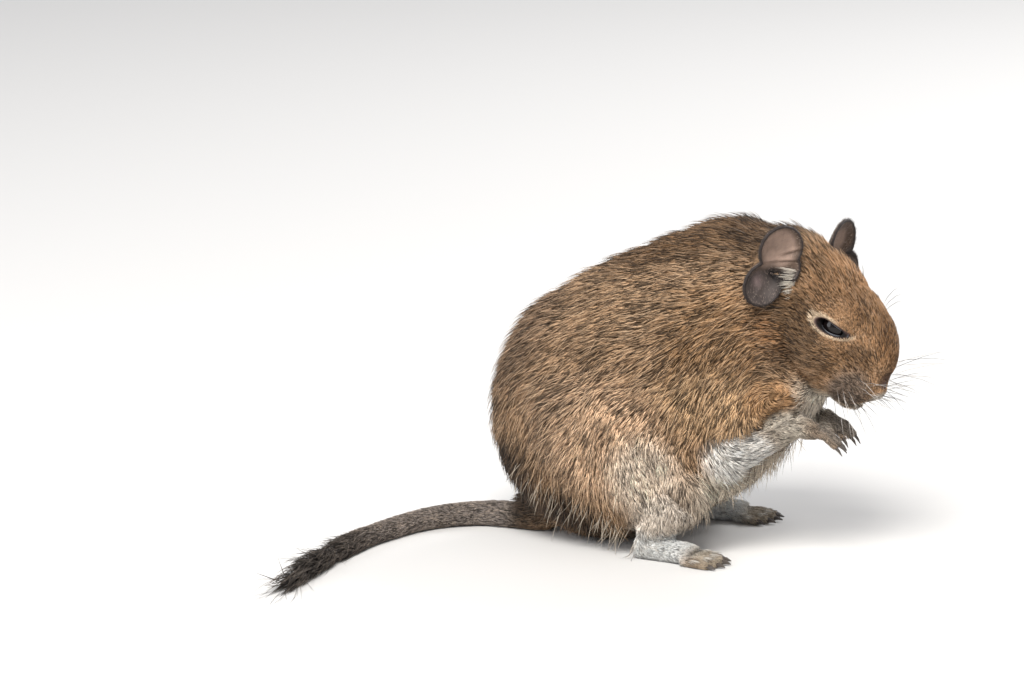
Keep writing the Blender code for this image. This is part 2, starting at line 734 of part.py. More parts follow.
def tuft(line):
    """Rings of flat tapered locks, rooted in the tail's core, that overlap and draw together at the tip."""
    chance = random.Random(TUFT_SEED)
    sizes = [
        (LOCK_WIDTH * wide, LOCK_THICKNESS * thick)
        for wide, thick in zip(LOCK_WIDTH_SHARES, LOCK_THICKNESS_SHARES, strict=True)
    ]
    locks = []
    for k, share in enumerate(LOCK_RINGS):
        root, way, radius = line[round(share * (len(line) - 1))]
        side, above = way.cross(Vector((0, 0, 1))), Vector((0, 0, 1))
        for j in range(LOCKS_IN_RING):
            angle = math.pi * (j + 0.5 * (k % 2)) / (LOCKS_IN_RING - 0.5)
            out = side * math.cos(angle) + above * math.sin(angle)
            length = LOCK_LENGTH * chance.uniform(0.88, 1.12)
            swell = radius * 0.7 + LOCK_SWELL * chance.uniform(0.75, 1.15)
            path = [
                root + way * length * along + out * swell * math.sin(LOCK_ARC * along)
                for along in LOCK_SHARES
            ]
            for point in path:
                point.z = max(point.z, LOCK_THICKNESS)
            locks.append(flat_lock(path, sizes, out))
    return locks


def flat_lock(path, sizes, out):
    """A flat blade along a path, its breadth across the way that it stands out."""
    form = bmesh.new()
    last = len(path) - 1
    rings = []
    for k, (point, (wide, thick)) in enumerate(zip(path, sizes, strict=True)):
        along = (path[min(k + 1, last)] - path[max(k - 1, 0)]).normalized()
        breadth = along.cross(out).normalized() * wide
        depth = breadth.cross(along).normalized() * thick
        corners = [point + breadth, point + depth, point - breadth, point - depth]
        rings.append([form.verts.new((c.x, c.y, max(c.z, 0.0))) for c in corners])
    for one, two in zip(rings, rings[1:], strict=False):
        for k in range(4):
            form.faces.new((one[k], one[(k + 1) % 4], two[(k + 1) % 4], two[k]))
    form.faces.new(rings[0][::-1])
    form.faces.new(rings[-1])
    bmesh.ops.triangulate(form, faces=form.faces)
    return object_from("lock", form)


def material(finish):
    """The material of a finish, made once."""
    if finish in bpy.data.materials:
        return bpy.data.materials[finish]
    colour, roughness = FINISHES[finish]
    made = bpy.data.materials.new(finish)
    made.use_nodes = True
    shader = made.node_tree.nodes["Principled BSDF"]
    shader.inputs["Base Color"].default_value = (*colour, 1)
    shader.inputs["Roughness"].default_value = roughness
    shader.inputs["Metallic"].default_value = 0.0
    made.diffuse_color = (*colour, 1)
    return made


def placed(thing, name, finish, parent):
    """Names a node, sets its origin in its middle, gives it its material and shades it smooth."""
    thing.name = name
    thing.data.name = name
    along = list(zip(*(vertex.co for vertex in thing.data.vertices), strict=True))
    middle = Vector([(min(values) + max(values)) / 2 for values in along])
    thing.data.transform(Matrix.Translation(-middle))
    thing.location = middle
    thing.parent = parent
    thing.data.materials.clear()
    thing.data.materials.append(material(finish))
    thing.data.shade_smooth()
    thing.data.set_sharp_from_angle(angle=math.radians(50))


def main():
    """Builds every node and parents it to one empty."""
    clear_scene()
    degu = bpy.data.objects.new("degu", None)
    bpy.context.scene.collection.objects.link(degu)
    flesh = flesh_form()
    coat = copied(flesh)
    clearance = coat.modifiers.new("clearance", "DISPLACE")
    clearance.strength = GAP
    clearance.mid_level = 0.0
    applied(coat)
    for name, arm in ARMS.items():
        paw = carved(flesh, forepaw_region(arm), f"forepaw_{name}")
        fingers, claws = zip(*fingers_and_claws(arm), strict=True)
        placed(combined(paw, fingers, "UNION"), f"forepaw_{name}", "foot_fur", degu)
        for k, claw in enumerate(claws):
            placed(claw, f"claw_fore_{name}_{k + 1}", "claw", degu)
    for name, arm in ARMS.items():
        placed(carved(flesh, foreleg_region(arm), f"foreleg_{name}"), f"foreleg_{name}", "pale_fur", degu)
    for name, side in SIDES.items():
        foot = carved(flesh, foot_region(side), f"hind_foot_{name}")
        toes, claws = zip(*toes_and_claws(side), strict=True)
        placed(combined(foot, toes, "UNION"), f"hind_foot_{name}", "foot_fur", degu)
        for k, claw in enumerate(claws):
            placed(claw, f"claw_hind_{name}_{k + 1}", "claw", degu)
    for name, side in SIDES.items():
        placed(carved(flesh, hind_leg_region(side), f"hind_leg_{name}"), f"hind_leg_{name}", "pale_fur", degu)
    head = carved(flesh, reach_region(HEAD_REACH), "head")
    combined(head, mouth_cutters(head) + eye_cutters(), "DIFFERENCE")
    placed(head, "head", "brown_fur", degu)
    placed(carved(flesh, reach_region(NECK_REACH), "neck"), "neck", "brown_fur", degu)
    placed(flesh, "torso", "brown_fur", degu)
    for name, spec in EARS.items():
        placed(combined(ear(spec), [copied(coat)], "DIFFERENCE"), f"ear_{name}", "ear_skin", degu)
    for name, side in SIDES.items():
        eye = ellipsoid(on_side(EYE_PLACE, side), (EYE_RADIUS,) * 3, frame=HEAD, detail=3)
        placed(eye, f"eye_{name}", "eye", degu)
    remove([coat])
    (base, middle, tip), line = tail_lengths()
    placed(base, "tail_base", "tail_fur", degu)
    placed(middle, "tail_middle", "tail_fur", degu)
    placed(combined(tip, tuft(line), "UNION"), "tail_tip", "tail_fur", degu)


main()
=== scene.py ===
"""The looks of a life-size degu: one skin, its coat of solid tufts, ears, eyes, claws and whiskers.

Places are in millimetres in the tables and in metres in the meshes. The degu faces +X, its right
side is towards -Y and it sits on the plane z = 0.
"""

import math

import bmesh
import bpy
import numpy as np
from mathutils import Matrix, Vector
from mathutils.bvhtree import BVHTree
from mathutils.kdtree import KDTree


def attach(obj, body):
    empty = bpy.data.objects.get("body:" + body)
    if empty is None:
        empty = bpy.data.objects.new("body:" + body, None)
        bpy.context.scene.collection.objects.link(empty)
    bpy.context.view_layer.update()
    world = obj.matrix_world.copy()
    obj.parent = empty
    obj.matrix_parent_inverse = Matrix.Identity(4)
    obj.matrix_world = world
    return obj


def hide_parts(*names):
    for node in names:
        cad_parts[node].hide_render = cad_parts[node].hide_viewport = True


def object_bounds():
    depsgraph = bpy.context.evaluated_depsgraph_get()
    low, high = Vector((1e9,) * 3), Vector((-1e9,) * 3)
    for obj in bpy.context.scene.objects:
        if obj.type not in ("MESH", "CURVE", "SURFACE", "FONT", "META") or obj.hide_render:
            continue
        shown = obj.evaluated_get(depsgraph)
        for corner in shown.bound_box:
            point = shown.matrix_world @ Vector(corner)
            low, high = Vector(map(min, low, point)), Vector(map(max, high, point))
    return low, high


MM = 0.001
SEED = 11

# The head's own axes, as the solids have them: x to the nose tip, y to the left, z to the crown.
HEAD_PLACE = Vector((64.3, -3.7, 90.7)) * MM
HEAD = (
    Matrix.Translation(HEAD_PLACE)
    @ Matrix.Rotation(math.radians(-18), 4, "Z")
    @ Matrix.Rotation(math.radians(52), 4, "Y")
    @ Matrix.Rotation(math.radians(-5), 4, "X")
)
EYE = Vector((16.2, 11.3, 1.4)) * MM
EYE_RADIUS = 4.6 * MM
SLIT = Vector((16.6, 16.3, 1.8)) * MM
SLIT_HALF = (5.5 * MM, 1.9 * MM)
SLIT_PITCH = math.radians(-24)

# The line of the tail on the floor and its radius there.
TAIL_LINE = ((-41, -3), (-55, -3.5), (-69, -14), (-79, -36), (-84, -60), (-86, -86), (-86, -104))
TAIL_RADII = (4.7, 4.2, 3.7, 3.3, 3.0, 2.8, 1.6)

SKIN_VOXEL = 0.45 * MM
GAP_FILL = 0.22 * MM
SKIN_SMOOTHING = 7

# How many tufts the coat has in all, and how many triangles one piece of it may have.
TUFTS = 225000
PIECE_TRIANGLES = 190000
GUARD_HAIRS = 9000
FLOOR_GAP = 0.15 * MM

# Each so many tufts lean together as a lock, by so much, and share a lighter or darker tone.
LOCK_TUFTS = 12
LOCK_PULL = 0.34
LOCK_SHADE = 0.10

# How far along and how far up a long hair's four points lie, and its mesh's corners.
HAIR_BEND = ((-0.02, -0.1), (0.30, 0.62), (0.66, 0.92), (1.0, 1.0))
HAIR_CORNERS = 8

# How many tufts take the ticking of their lock, and the tones of the ticks and of single hairs.
TICK_SHARED = 0.25
ROOT_SHADE = 0.42
TICK_DARK, TICK_PALE = (0.028, 0.020, 0.015), (0.66, 0.50, 0.35)
FRINGE_PALE, BRISTLE_PALE = (0.60, 0.51, 0.40), (0.70, 0.66, 0.60)
WHISKER_DARK, WHISKER_PALE = (0.020, 0.016, 0.014), (0.50, 0.46, 0.42)

# Fringes on both sides: a line, the way the hairs hang, their lengths, how many, and their spread.
FRINGES = (
    (((-34, 27, 26), (-22, 33, 16), (-8, 34, 9), (4, 32, 6)), (-0.45, 0.25, -1), (8, 14), 90, 4.0),
    (((22, 28, 22), (34, 22, 24), (44, 14, 30), (52, 8, 36)), (0.15, 0.1, -1), (7, 12), 260, 2.0),
)

# The tips of the hind toes and the way each points, in degrees from straight ahead.
TOE_TIPS = (
    ((30.5, 24.5, 2.4), -14), ((34.0, 28.0, 2.8), -6), ((35.0, 32.0, 2.9), 2), ((34.0, 36.0, 2.7), 10),
    ((30.5, 39.5, 2.3), 18),
)
BRISTLES = 11

FLESH = (
    "torso", "neck", "head", "foreleg_left", "foreleg_right", "forepaw_left", "forepaw_right",
    "hind_leg_left", "hind_leg_right", "hind_foot_left", "hind_foot_right", "tail_base", "tail_middle",
)

# The coat at places on the head, in its own axes: place, lie, length, width, inset and rise.
HEAD_COAT = (
    ((41, 0, -2), (-0.6, 0, 0.5), 0.7, 0.12, 0.1, 0.1),
    ((38, 0, 2), (-1, 0, 0.5), 1.4, 0.17, 0.3, 0.35),
    ((33, 0, 8), (-1, 0, 0.45), 2.6, 0.22, 0.6, 0.8),
    ((27, 0, 12), (-1, 0, 0.2), 3.2, 0.25, 0.9, 1.0),
    ((18, 0, 13), (-1, 0, 0.0), 3.8, 0.28, 1.2, 1.4),
    ((6, 0, 12), (-1, 0, -0.15), 4.8, 0.32, 1.7, 1.9),
    ((39, 5, -6), (-0.8, 0.5, 0.1), 1.8, 0.17, 0.3, 0.6),
    ((35, 9, -8), (-0.8, 0.4, -0.5), 2.6, 0.20, 0.5, 1.0),
    ((37, 5, -12), (-0.5, 0.2, -0.9), 3.0, 0.20, 0.5, 1.1),
    ((30, 10, -2), (-1, 0.3, -0.1), 2.8, 0.23, 0.7, 0.9),
    ((24, 12, 3), (-1, 0.3, 0.3), 2.2, 0.20, 0.5, 0.6),
    ((16, 13, 8), (-1, 0.2, 0.1), 2.6, 0.23, 0.7, 0.8),
    ((17, 16, -4), (-1, 0.1, -0.3), 2.2, 0.20, 0.4, 0.6),
    ((10, 17, 3), (-1, 0.1, -0.1), 3.2, 0.26, 0.9, 1.1),
    ((22, 14, -10), (-1, 0.2, -0.5), 3.8, 0.28, 1.1, 1.3),
    ((12, 18, -12), (-0.8, 0.1, -0.7), 4.8, 0.32, 1.6, 1.8),
    ((2, 17, -14), (-0.7, 0.1, -0.9), 5.6, 0.36, 2.0, 2.2),
    ((31, 3, -18), (-0.8, 0.1, -0.5), 4.2, 0.26, 0.9, 1.6),
    ((18, 6, -23), (-1, 0.1, -0.1), 5.2, 0.33, 1.7, 2.0),
)

# The coat on the body, for the side where y is positive and mirrored for the other.
BODY_COAT = (
    ((46, 0, 107), (-1, 0, 0.0), 5.6, 0.38, 2.2, 2.3),
    ((22, 0, 100), (-1, 0, -0.1), 6.2, 0.41, 2.5, 2.6),
    ((0, 0, 97), (-1, 0, -0.3), 6.5, 0.43, 2.6, 2.7),
    ((-26, 0, 82), (-0.8, 0, -0.7), 6.8, 0.44, 2.6, 2.7),
    ((-46, 0, 52), (-0.3, 0, -1), 7.0, 0.45, 2.6, 2.8),
    ((-46, 0, 22), (-0.2, 0, -1), 7.0, 0.43, 2.3, 2.6),
    ((47, 18, 88), (-0.9, 0.2, -0.5), 5.5, 0.38, 2.1, 2.2),
    ((40, 28, 70), (-0.7, 0.1, -0.7), 6.2, 0.41, 2.4, 2.5),
    ((38, 30, 54), (-0.4, 0, -0.9), 6.4, 0.41, 2.3, 2.5),
    ((10, 33, 80), (-1, 0.1, -0.4), 6.5, 0.43, 2.6, 2.7),
    ((10, 34, 60), (-0.85, 0, -0.6), 6.5, 0.43, 2.6, 2.7),
    ((22, 32, 44), (-0.5, 0, -0.9), 6.5, 0.41, 2.4, 2.6),
    ((30, 26, 28), (0.1, -0.1, -1), 6.5, 0.34, 1.9, 2.6),
    ((22, 0, 9), (-0.7, 0, -0.4), 5.0, 0.36, 1.8, 1.8),
    ((57, 0, 46), (0.2, 0, -1), 5.6, 0.32, 1.9, 2.1),
    ((60, 0, 60), (0, 0, -1), 5.6, 0.32, 1.9, 2.1),
    ((-18, 35, 60), (-0.8, 0, -0.6), 6.5, 0.43, 2.6, 2.7),
    ((-5, 37, 44), (-0.3, 0, -1), 6.2, 0.41, 2.4, 2.5),
    ((12, 37, 32), (0.2, 0, -1), 5.2, 0.34, 1.9, 2.0),
    ((24, 32, 20), (0.2, 0, -1), 4.2, 0.29, 1.4, 1.6),
    ((15, 31, 12), (-0.1, 0, -1), 3.4, 0.24, 0.9, 1.2),
    ((-26, 34, 40), (-0.45, 0, -1), 7.4, 0.43, 2.6, 2.8),
    ((-32, 25, 15), (-0.3, 0, -1), 8.0, 0.40, 2.4, 3.0),
    ((-8, 33, 12), (-0.1, 0, -1), 7.6, 0.38, 2.1, 3.0),
    ((6, 29, 5), (0.4, 0, -0.8), 2.2, 0.18, 0.5, 0.6),
    ((18, 31, 7), (1, 0, -0.1), 1.9, 0.15, 0.4, 0.4),
    ((31, 32, 4), (1, 0, -0.2), 1.4, 0.12, 0.25, 0.3),
    ((38, 32, 2), (1, 0, -0.3), 1.1, 0.10, 0.12, 0.2),
    ((32, 24, 30), (0.5, 0, -0.6), 5.2, 0.31, 1.6, 2.0),
    ((42, 20, 38), (0.9, -0.15, 0.3), 4.2, 0.28, 1.3, 1.6),
)

# The coat on the forearms and forepaws, which are held differently, so each has its own places.
ARM_COAT = (
    ((54, -17, 44), (0.95, 0.15, 0.1), 3.0, 0.19, 0.7, 0.9),
    ((65, -15, 43), (0.9, 0.05, -0.4), 1.4, 0.12, 0.25, 0.3),
    ((72, -15, 39), (0.7, 0, -0.7), 1.0, 0.09, 0.1, 0.15),
    ((54, 6, 43), (0.9, -0.4, 0.15), 3.0, 0.19, 0.7, 0.9),
    ((65, 2, 42), (0.9, -0.2, -0.4), 1.4, 0.12, 0.25, 0.3),
    ((72, 4, 39), (0.7, 0, -0.7), 1.0, 0.09, 0.1, 0.15),
)

# The coat along the tail, from its root to its tip: length, width, inset and rise.
TAIL_COAT = (
    (3.0, 0.22, 0.8, 0.7), (2.4, 0.20, 0.7, 0.6), (2.4, 0.20, 0.6, 0.6), (3.0, 0.20, 0.6, 0.8),
    (5.5, 0.22, 0.6, 1.8), (10.0, 0.26, 0.7, 3.2), (15.0, 0.30, 0.6, 3.6),
)

# Markings, with a few painted shadows and a painted highlight among them, painted one over the other: place, reach,
# colour and strength.
GROUND = (0.430, 0.273, 0.155)
BODY_MARKS = (
    ((8, 0, 102), (60, 23, 16), (0.165, 0.088, 0.039), 0.85),
    ((48, 0, 104), (15, 24, 15), (0.100, 0.058, 0.032), 0.75),
    ((36, 28, 72), (20, 16, 26), (0.350, 0.200, 0.094), 0.8),
    ((34, 26, 55), (20, 16, 13), (0.64, 0.42, 0.235), 0.85),
    ((51, 22, 55), (9, 14, 7.5), (0.60, 0.345, 0.165), 0.8),
    ((-32, 0, 66), (24, 30, 34), (0.270, 0.172, 0.105), 0.8),
    ((-4, 36, 44), (30, 16, 24), (0.44, 0.295, 0.187), 0.9),
    # The haunch's pale tan, made lighter still by a painted highlight along it.
    ((2, 37, 40), (22, 16, 17), (0.82, 0.56, 0.36), 0.8),
    ((13, 38, 30), (15, 14, 18), (0.78, 0.65, 0.52), 0.95),
    ((18, 31, 14), (14, 14, 11), (0.75, 0.66, 0.56), 0.95),
    # Painted shadow under the rear edge of the thighs, over the buttocks, on both sides.
    ((-38, 20, 22), (15, 26, 18), (0.066, 0.038, 0.021), 0.95),
    ((-22, 28, 11), (24, 16, 14), (0.066, 0.038, 0.021), 0.95),
    ((-40, 0, 12), (18, 20, 16), (0.075, 0.050, 0.033), 0.95),
    ((-48, 2, 5), (13, 9, 8), (0.22, 0.185, 0.155), 0.95),
    ((14, 0, 6), (34, 20, 12), (0.48, 0.40, 0.31), 0.9),
    ((44, 0, 26), (16, 14, 14), (0.62, 0.53, 0.42), 0.9),
    ((35, 18, 24), (17, 20, 12), (0.84, 0.74, 0.61), 0.95),
    ((41, 24, 36), (14, 13, 9), (0.76, 0.74, 0.70), 0.95),
    ((58, 0, 46), (12, 18, 20), (0.68, 0.62, 0.54), 0.9),
    ((14, 30, 3), (26, 11, 9), (0.75, 0.76, 0.74), 0.95),
    ((36, 32, 2), (11, 12, 7), (0.43, 0.365, 0.28), 0.9),
)
ARM_MARKS = (
    ((54, -17, 43), (12, 8, 8), (0.62, 0.56, 0.47), 0.95),
    ((54, 6, 43), (12, 8, 8), (0.62, 0.56, 0.47), 0.95),
    ((68, -14, 41), (10, 8, 8), (0.34, 0.29, 0.24), 0.95),
    ((68, 3, 41), (10, 8, 8), (0.34, 0.29, 0.24), 0.95),
)
HEAD_MARKS = (
    ((14, 0, 0), (34, 24, 26), (0.31, 0.172, 0.083), 0.85),
    ((8, 0, 13), (20, 14, 9), (0.32, 0.175, 0.083), 0.9),
    ((20, 5, 12), (9, 9, 7), (0.27, 0.148, 0.070), 0.8),
    ((10, 17, -9), (15, 12, 11), (0.112, 0.063, 0.030), 0.85),
    ((2, 16, -18), (13, 12, 9), (0.31, 0.155, 0.066), 0.8),
    # Painted shadow of the jaw: a dark line below the cheek.
    ((17, 17, -17), (6, 7, 5), (0.10, 0.05, 0.022), 0.6),
    ((25, 12, -5), (9, 8, 6), (0.200, 0.114, 0.055), 0.8),
    ((30, 9, 1), (6, 6, 5), (0.135, 0.075, 0.036), 0.75),
    ((30, 0, 9), (12, 7, 7), (0.185, 0.092, 0.037), 0.8),
    ((36, 0, -14), (10, 9, 7), (0.34, 0.28, 0.21), 0.9),
    ((30, 0, -19), (14, 9, 6), (0.62, 0.54, 0.43), 0.9),
    ((35.5, 8, -8), (7, 7, 8), (0.190, 0.138, 0.102), 0.95),
    ((16, 0, -24), (18, 15, 9), (0.84, 0.76, 0.64), 0.95),
    ((39.2, 0, 1.0), (4.0, 3.6, 3.6), (0.12, 0.068, 0.046), 0.9),
    ((41.6, 0, -5.2), (2.6, 4.0, 3.0), (0.42, 0.40, 0.36), 0.9),
)
EYE_RING = (0.60, 0.47, 0.33)
TAIL_GREY, TAIL_BLACK = (0.255, 0.214, 0.185), (0.078, 0.065, 0.055)
HEAD_MIDDLE = (16, 0, -4)

# Creases of the skin on both sides, each a line in the degu's axes with its depth and its half width. Painted shade
# also darkens the coat along each of them.
CREASES = (
    (((-8, 37, 64), (3, 38.5, 50), (13, 38.5, 36), (20, 37, 26), (26, 33, 18)), 3.6, 2.6),
    (((-34, 30, 36), (-26, 34, 24), (-14, 36, 15), (-2, 34, 9)), 2.2, 2.6),
    (((30, 30, 44), (38, 29, 42), (46, 24, 44), (54, 20, 49)), 2.2, 2.2),
    (((43, 6, 107), (38, 14, 102), (32, 22, 93)), 1.2, 1.4),
    (((38, 4, 106), (32, 12, 102), (27, 20, 95)), 0.8, 1.2),
)
# How much painted shade darkens the coat along the creases and along the mouth.
CREASE_SHADE, MOUTH_SHADE = 0.35, 0.75

# The mouth, the cleft of the lip and the nostrils, in the head's own axes.
MOUTH = ((33.5, 8.0, -12.4), (36.6, 5.4, -12.0), (39.8, 2.4, -10.6), (41.2, 0, -10.0))
CLEFT = ((41.6, 0, -9.4), (42.0, 0, -5.6), (41.0, 0, -1.6))
NOSTRIL = (40.1, 2.3, -0.6)

# The bare edge of the lids, how far from the eye it may lie, and the bare pad of the nose.
LID_WIDTH = 0.35 * MM
LID_REACH = 9 * MM
NOSE_PAD = ((40.1, 0, -0.4), (1.8, 2.6, 1.4))
BARE_SKIN, EYE_DARK = (0.070, 0.042, 0.036), (0.006, 0.005, 0.005)


def smooth_step(low, high, value):
    """0 below low, 1 above high and a smooth rise between."""
    share = np.clip((value - low) / (high - low), 0, 1)
    return share * share * (3 - 2 * share)


def waves(points, scale, seed):
    """A smooth mottling in about -1 to 1, with blotches about as wide as scale."""
    draw = np.random.default_rng(seed)
    total = np.zeros(len(points))
    for _ in range(6):
        way = draw.normal(size=3)
        way *= 2 * math.pi / (np.linalg.norm(way) * scale * draw.uniform(1.6, 3.2))
        total += np.sin(points @ way + draw.uniform(0, 2 * math.pi))
    return total / 2.6


def unit(vectors):
    """Each row at length one."""
    return vectors / np.maximum(np.linalg.norm(vectors, axis=1, keepdims=True), 1e-12)


def to_head(points):
    """Points in the head's own axes."""
    back = np.array(HEAD.inverted())
    return points @ back[:3, :3].T + back[:3, 3]


def from_head(points, is_way=False):
    """Points, or ways, from the head's axes to the degu's."""
    turn = np.array(HEAD)
    moved = np.asarray(points, dtype=float) @ turn[:3, :3].T
    return moved if is_way else moved + turn[:3, 3]


def curve_points(points, steps):
    """A smooth line through the points, with so many steps between each two."""
    points = np.asarray(points, dtype=float)
    padded = np.vstack([2 * points[0] - points[1], points, 2 * points[-1] - points[-2]])
    found = []
    for k in range(len(points) - 1):
        a, b, c, d = padded[k : k + 4]
        for t in np.linspace(0, 1, steps, endpoint=False):
            bend = (2 * a - 5 * b + 4 * c - d) * t**2
            twist = (3 * b - a - 3 * c + d) * t**3
            found.append((2 * b + (c - a) * t + bend + twist) / 2)
    return np.array([*found, points[-1]])


def near_line(points, line):
    """How far each point is from a line, and how far along that line, from 0 to 1."""
    starts, steps = line[:-1], np.diff(line, axis=0)
    squares = np.maximum((steps**2).sum(1), 1e-18)
    far = np.full(len(points), np.inf)
    at = np.zeros(len(points))
    for k, (start, step, square) in enumerate(zip(starts, steps, squares, strict=True)):
        share = np.clip((points - start) @ step / square, 0, 1)
        gap = np.linalg.norm(points - start - share[:, None] * step, axis=1)
        is_nearer = gap < far
        far[is_nearer] = gap[is_nearer]
        at[is_nearer] = (k + share[is_nearer]) / len(steps)
    return far, at


def mesh_from(name, places, faces, colours=None, patches=None):
    """A smooth-shaded object from arrays of vertices and triangles, with its colours and its UV map."""
    mesh = bpy.data.meshes.new(name)
    mesh.vertices.add(len(places))
    mesh.vertices.foreach_set("co", np.ascontiguousarray(places, dtype=np.float32).ravel())
    mesh.loops.add(faces.size)
    mesh.loops.foreach_set("vertex_index", np.ascontiguousarray(faces, dtype=np.int32).ravel())
    mesh.polygons.add(len(faces))
    mesh.polygons.foreach_set("loop_start", np.arange(0, faces.size, 3, dtype=np.int32))
    mesh.update(calc_edges=True)
    mesh.shade_smooth()
    if colours is not None:
        paint_mesh(mesh, colours)
    if patches is not None:
        layer = mesh.uv_layers.new(name="OFBake")
        layer.uv.foreach_set("vector", np.ascontiguousarray(patches[faces.ravel()], dtype=np.float32).ravel())
    thing = bpy.data.objects.new(name, mesh)
    bpy.context.scene.collection.objects.link(thing)
    return thing


def paint_mesh(mesh, colours):
    """Gives a mesh its colour at each vertex."""
    layer = mesh.color_attributes.new("shade", "FLOAT_COLOR", "POINT")
    full = np.ones((len(colours), 4), dtype=np.float32)
    full[:, :3] = colours
    layer.data.foreach_set("color", full.ravel())


def places_of(mesh):
    """A mesh's vertices as an array."""
    places = np.empty(len(mesh.vertices) * 3, dtype=np.float32)
    mesh.vertices.foreach_get("co", places)
    return places.reshape(-1, 3).astype(float)


def normals_of(mesh):
    """A mesh's vertex normals as an array."""
    found = np.empty(len(mesh.vertices) * 3, dtype=np.float32)
    mesh.vertex_normals.foreach_get("vector", found)
    return found.reshape(-1, 3).astype(float)


def set_places(mesh, places):
    """Moves a mesh's vertices."""
    mesh.vertices.foreach_set("co", np.ascontiguousarray(places, dtype=np.float32).ravel())
    mesh.update()


def applied(thing):
    """Bakes an object's modifiers into its mesh."""
    graph = bpy.context.evaluated_depsgraph_get()
    mesh = bpy.data.meshes.new_from_object(thing.evaluated_get(graph))
    thing.modifiers.clear()
    thing.data = mesh
    return thing


def joined(name, sources):
    """A copy of several meshes in one object."""
    form = bmesh.new()
    for source in sources:
        form.from_mesh(source.data)
    mesh = bpy.data.meshes.new(name)
    form.to_mesh(mesh)
    form.free()
    thing = bpy.data.objects.new(name, mesh)
    bpy.context.scene.collection.objects.link(thing)
    return thing


def tube_mesh(name, line, radii, sides=10):
    """A closed round tube along a line, as an object."""
    line, radii = np.asarray(line, dtype=float), np.asarray(radii, dtype=float)
    ways = unit(np.gradient(line, axis=0))
    aside = unit(np.cross(ways, (0.05, 0.08, 1.0)))
    above = np.cross(aside, ways)
    angles = np.linspace(0, 2 * math.pi, sides, endpoint=False)
    rings = (
        line[:, None]
        + radii[:, None, None] * np.cos(angles)[None, :, None] * aside[:, None]
        + radii[:, None, None] * np.sin(angles)[None, :, None] * above[:, None]
    )
    places = np.vstack([rings.reshape(-1, 3), line[0], line[-1]])
    faces = []
    for k in range(len(line) - 1):
        for j in range(sides):
            a, b = k * sides + j, k * sides + (j + 1) % sides
            faces += [(a, b, b + sides), (a, b + sides, a + sides)]
    first, last = len(line) * sides, len(line) * sides + 1
    end = (len(line) - 1) * sides
    for j in range(sides):
        faces += [(first, (j + 1) % sides, j), (last, end + j, end + (j + 1) % sides)]
    return mesh_from(name, places, np.array(faces))


# The coat's guides

TAIL_FLOOR = curve_points(np.array(TAIL_LINE), 6) * MM
TAIL_SIZES = np.interp(np.linspace(0, 1, len(TAIL_FLOOR)), np.linspace(0, 1, len(TAIL_RADII)), TAIL_RADII) * MM
TAIL_CURVE = np.column_stack([TAIL_FLOOR, TAIL_SIZES])


def coat_guides():
    """Every guide of the coat in the degu's axes: places, lies and sizes, in metres."""
    places, lies, sizes = [], [], []
    for side in (-1, 1):
        flip = np.array((1, side, 1))
        for place, lie, *size in HEAD_COAT:
            places.append(from_head(np.array(place) * flip * MM))
            lies.append(from_head(np.array(lie, dtype=float) * flip, is_way=True))
            sizes.append(size)
        for place, lie, *size in BODY_COAT:
            places.append(np.array(place) * flip * MM)
            lies.append(np.array(lie, dtype=float) * flip)
            sizes.append(size)
    for place, lie, *size in ARM_COAT:
        places.append(np.array(place) * MM)
        lies.append(np.array(lie, dtype=float))
        sizes.append(size)
    ways = unit(np.gradient(TAIL_CURVE, axis=0))
    stages = np.linspace(0, 1, len(TAIL_COAT))
    for k, share in enumerate(np.linspace(0, 1, len(TAIL_CURVE))):
        places.append(TAIL_CURVE[k])
        lies.append(ways[k])
        sizes.append([np.interp(share, stages, row) for row in zip(*TAIL_COAT, strict=True)])
    return np.array(places), unit(np.array(lies)), np.array(sizes) * MM


GUIDE_PLACES, GUIDE_LIES, GUIDE_SIZES = coat_guides()


def coat_at(points):
    """The lie of the coat and its length, width, inset and rise at points, from the nearest guides."""
    lies = np.empty((len(points), 3))
    sizes = np.empty((len(points), 4))
    for low in range(0, len(points), 20000):
        part = points[low : low + 20000]
        squares = ((part[:, None] - GUIDE_PLACES[None]) ** 2).sum(2)
        weights = 1 / (squares + (3 * MM) ** 2) ** 2
        weights /= weights.sum(1, keepdims=True)
        lies[low : low + 20000] = weights @ GUIDE_LIES
        sizes[low : low + 20000] = weights @ GUIDE_SIZES
    return unit(lies), sizes


def slit_place(points):
    """Where points lie about the nearer eye's slit: along it, across it, and how far from the eye."""
    local = to_head(points)
    local[:, 1] = abs(local[:, 1])
    x, z = local[:, 0] - SLIT.x, local[:, 2] - SLIT.z
    along = x * math.cos(SLIT_PITCH) - z * math.sin(SLIT_PITCH)
    across = x * math.sin(SLIT_PITCH) + z * math.cos(SLIT_PITCH)
    return along, across, np.linalg.norm(local - np.array(EYE), axis=1)


def lid_ring(points):
    """Where points lie about the nearer eye's slit: 1 at the lids' bare edge, less inside, and far off large."""
    along, across, far = slit_place(points)
    ring = np.hypot(along / (SLIT_HALF[0] + LID_WIDTH), across / (SLIT_HALF[1] + LID_WIDTH))
    return np.where(far < LID_REACH, ring, 9.0)


def bare_at(points):
    """1 on the lids' edges and the nose's pad, and 0 where the coat grows."""
    lids = 1 - smooth_step(0.95, 1.1, lid_ring(points))
    local = to_head(points)
    nose = np.linalg.norm((local - np.array(NOSE_PAD[0]) * MM) / (np.array(NOSE_PAD[1]) * MM), axis=1)
    return np.maximum(lids, 1 - smooth_step(0.8, 1.1, nose))


def mirrored(points):
    """Points moved to the left side, to meet what a table gives once for both sides."""
    probe = points.copy()
    probe[:, 1] = abs(probe[:, 1])
    return probe


def spots(points, base, marks):
    """Paints each mark over the base, soft at its edge."""
    for place, reach, colour, strength in marks:
        far = np.linalg.norm((points - np.array(place) * MM) / (np.array(reach) * MM), axis=1)
        share = (strength * (1 - smooth_step(0.55, 1.15, far)))[:, None]
        base = base * (1 - share) + np.array(colour) * share
    return base


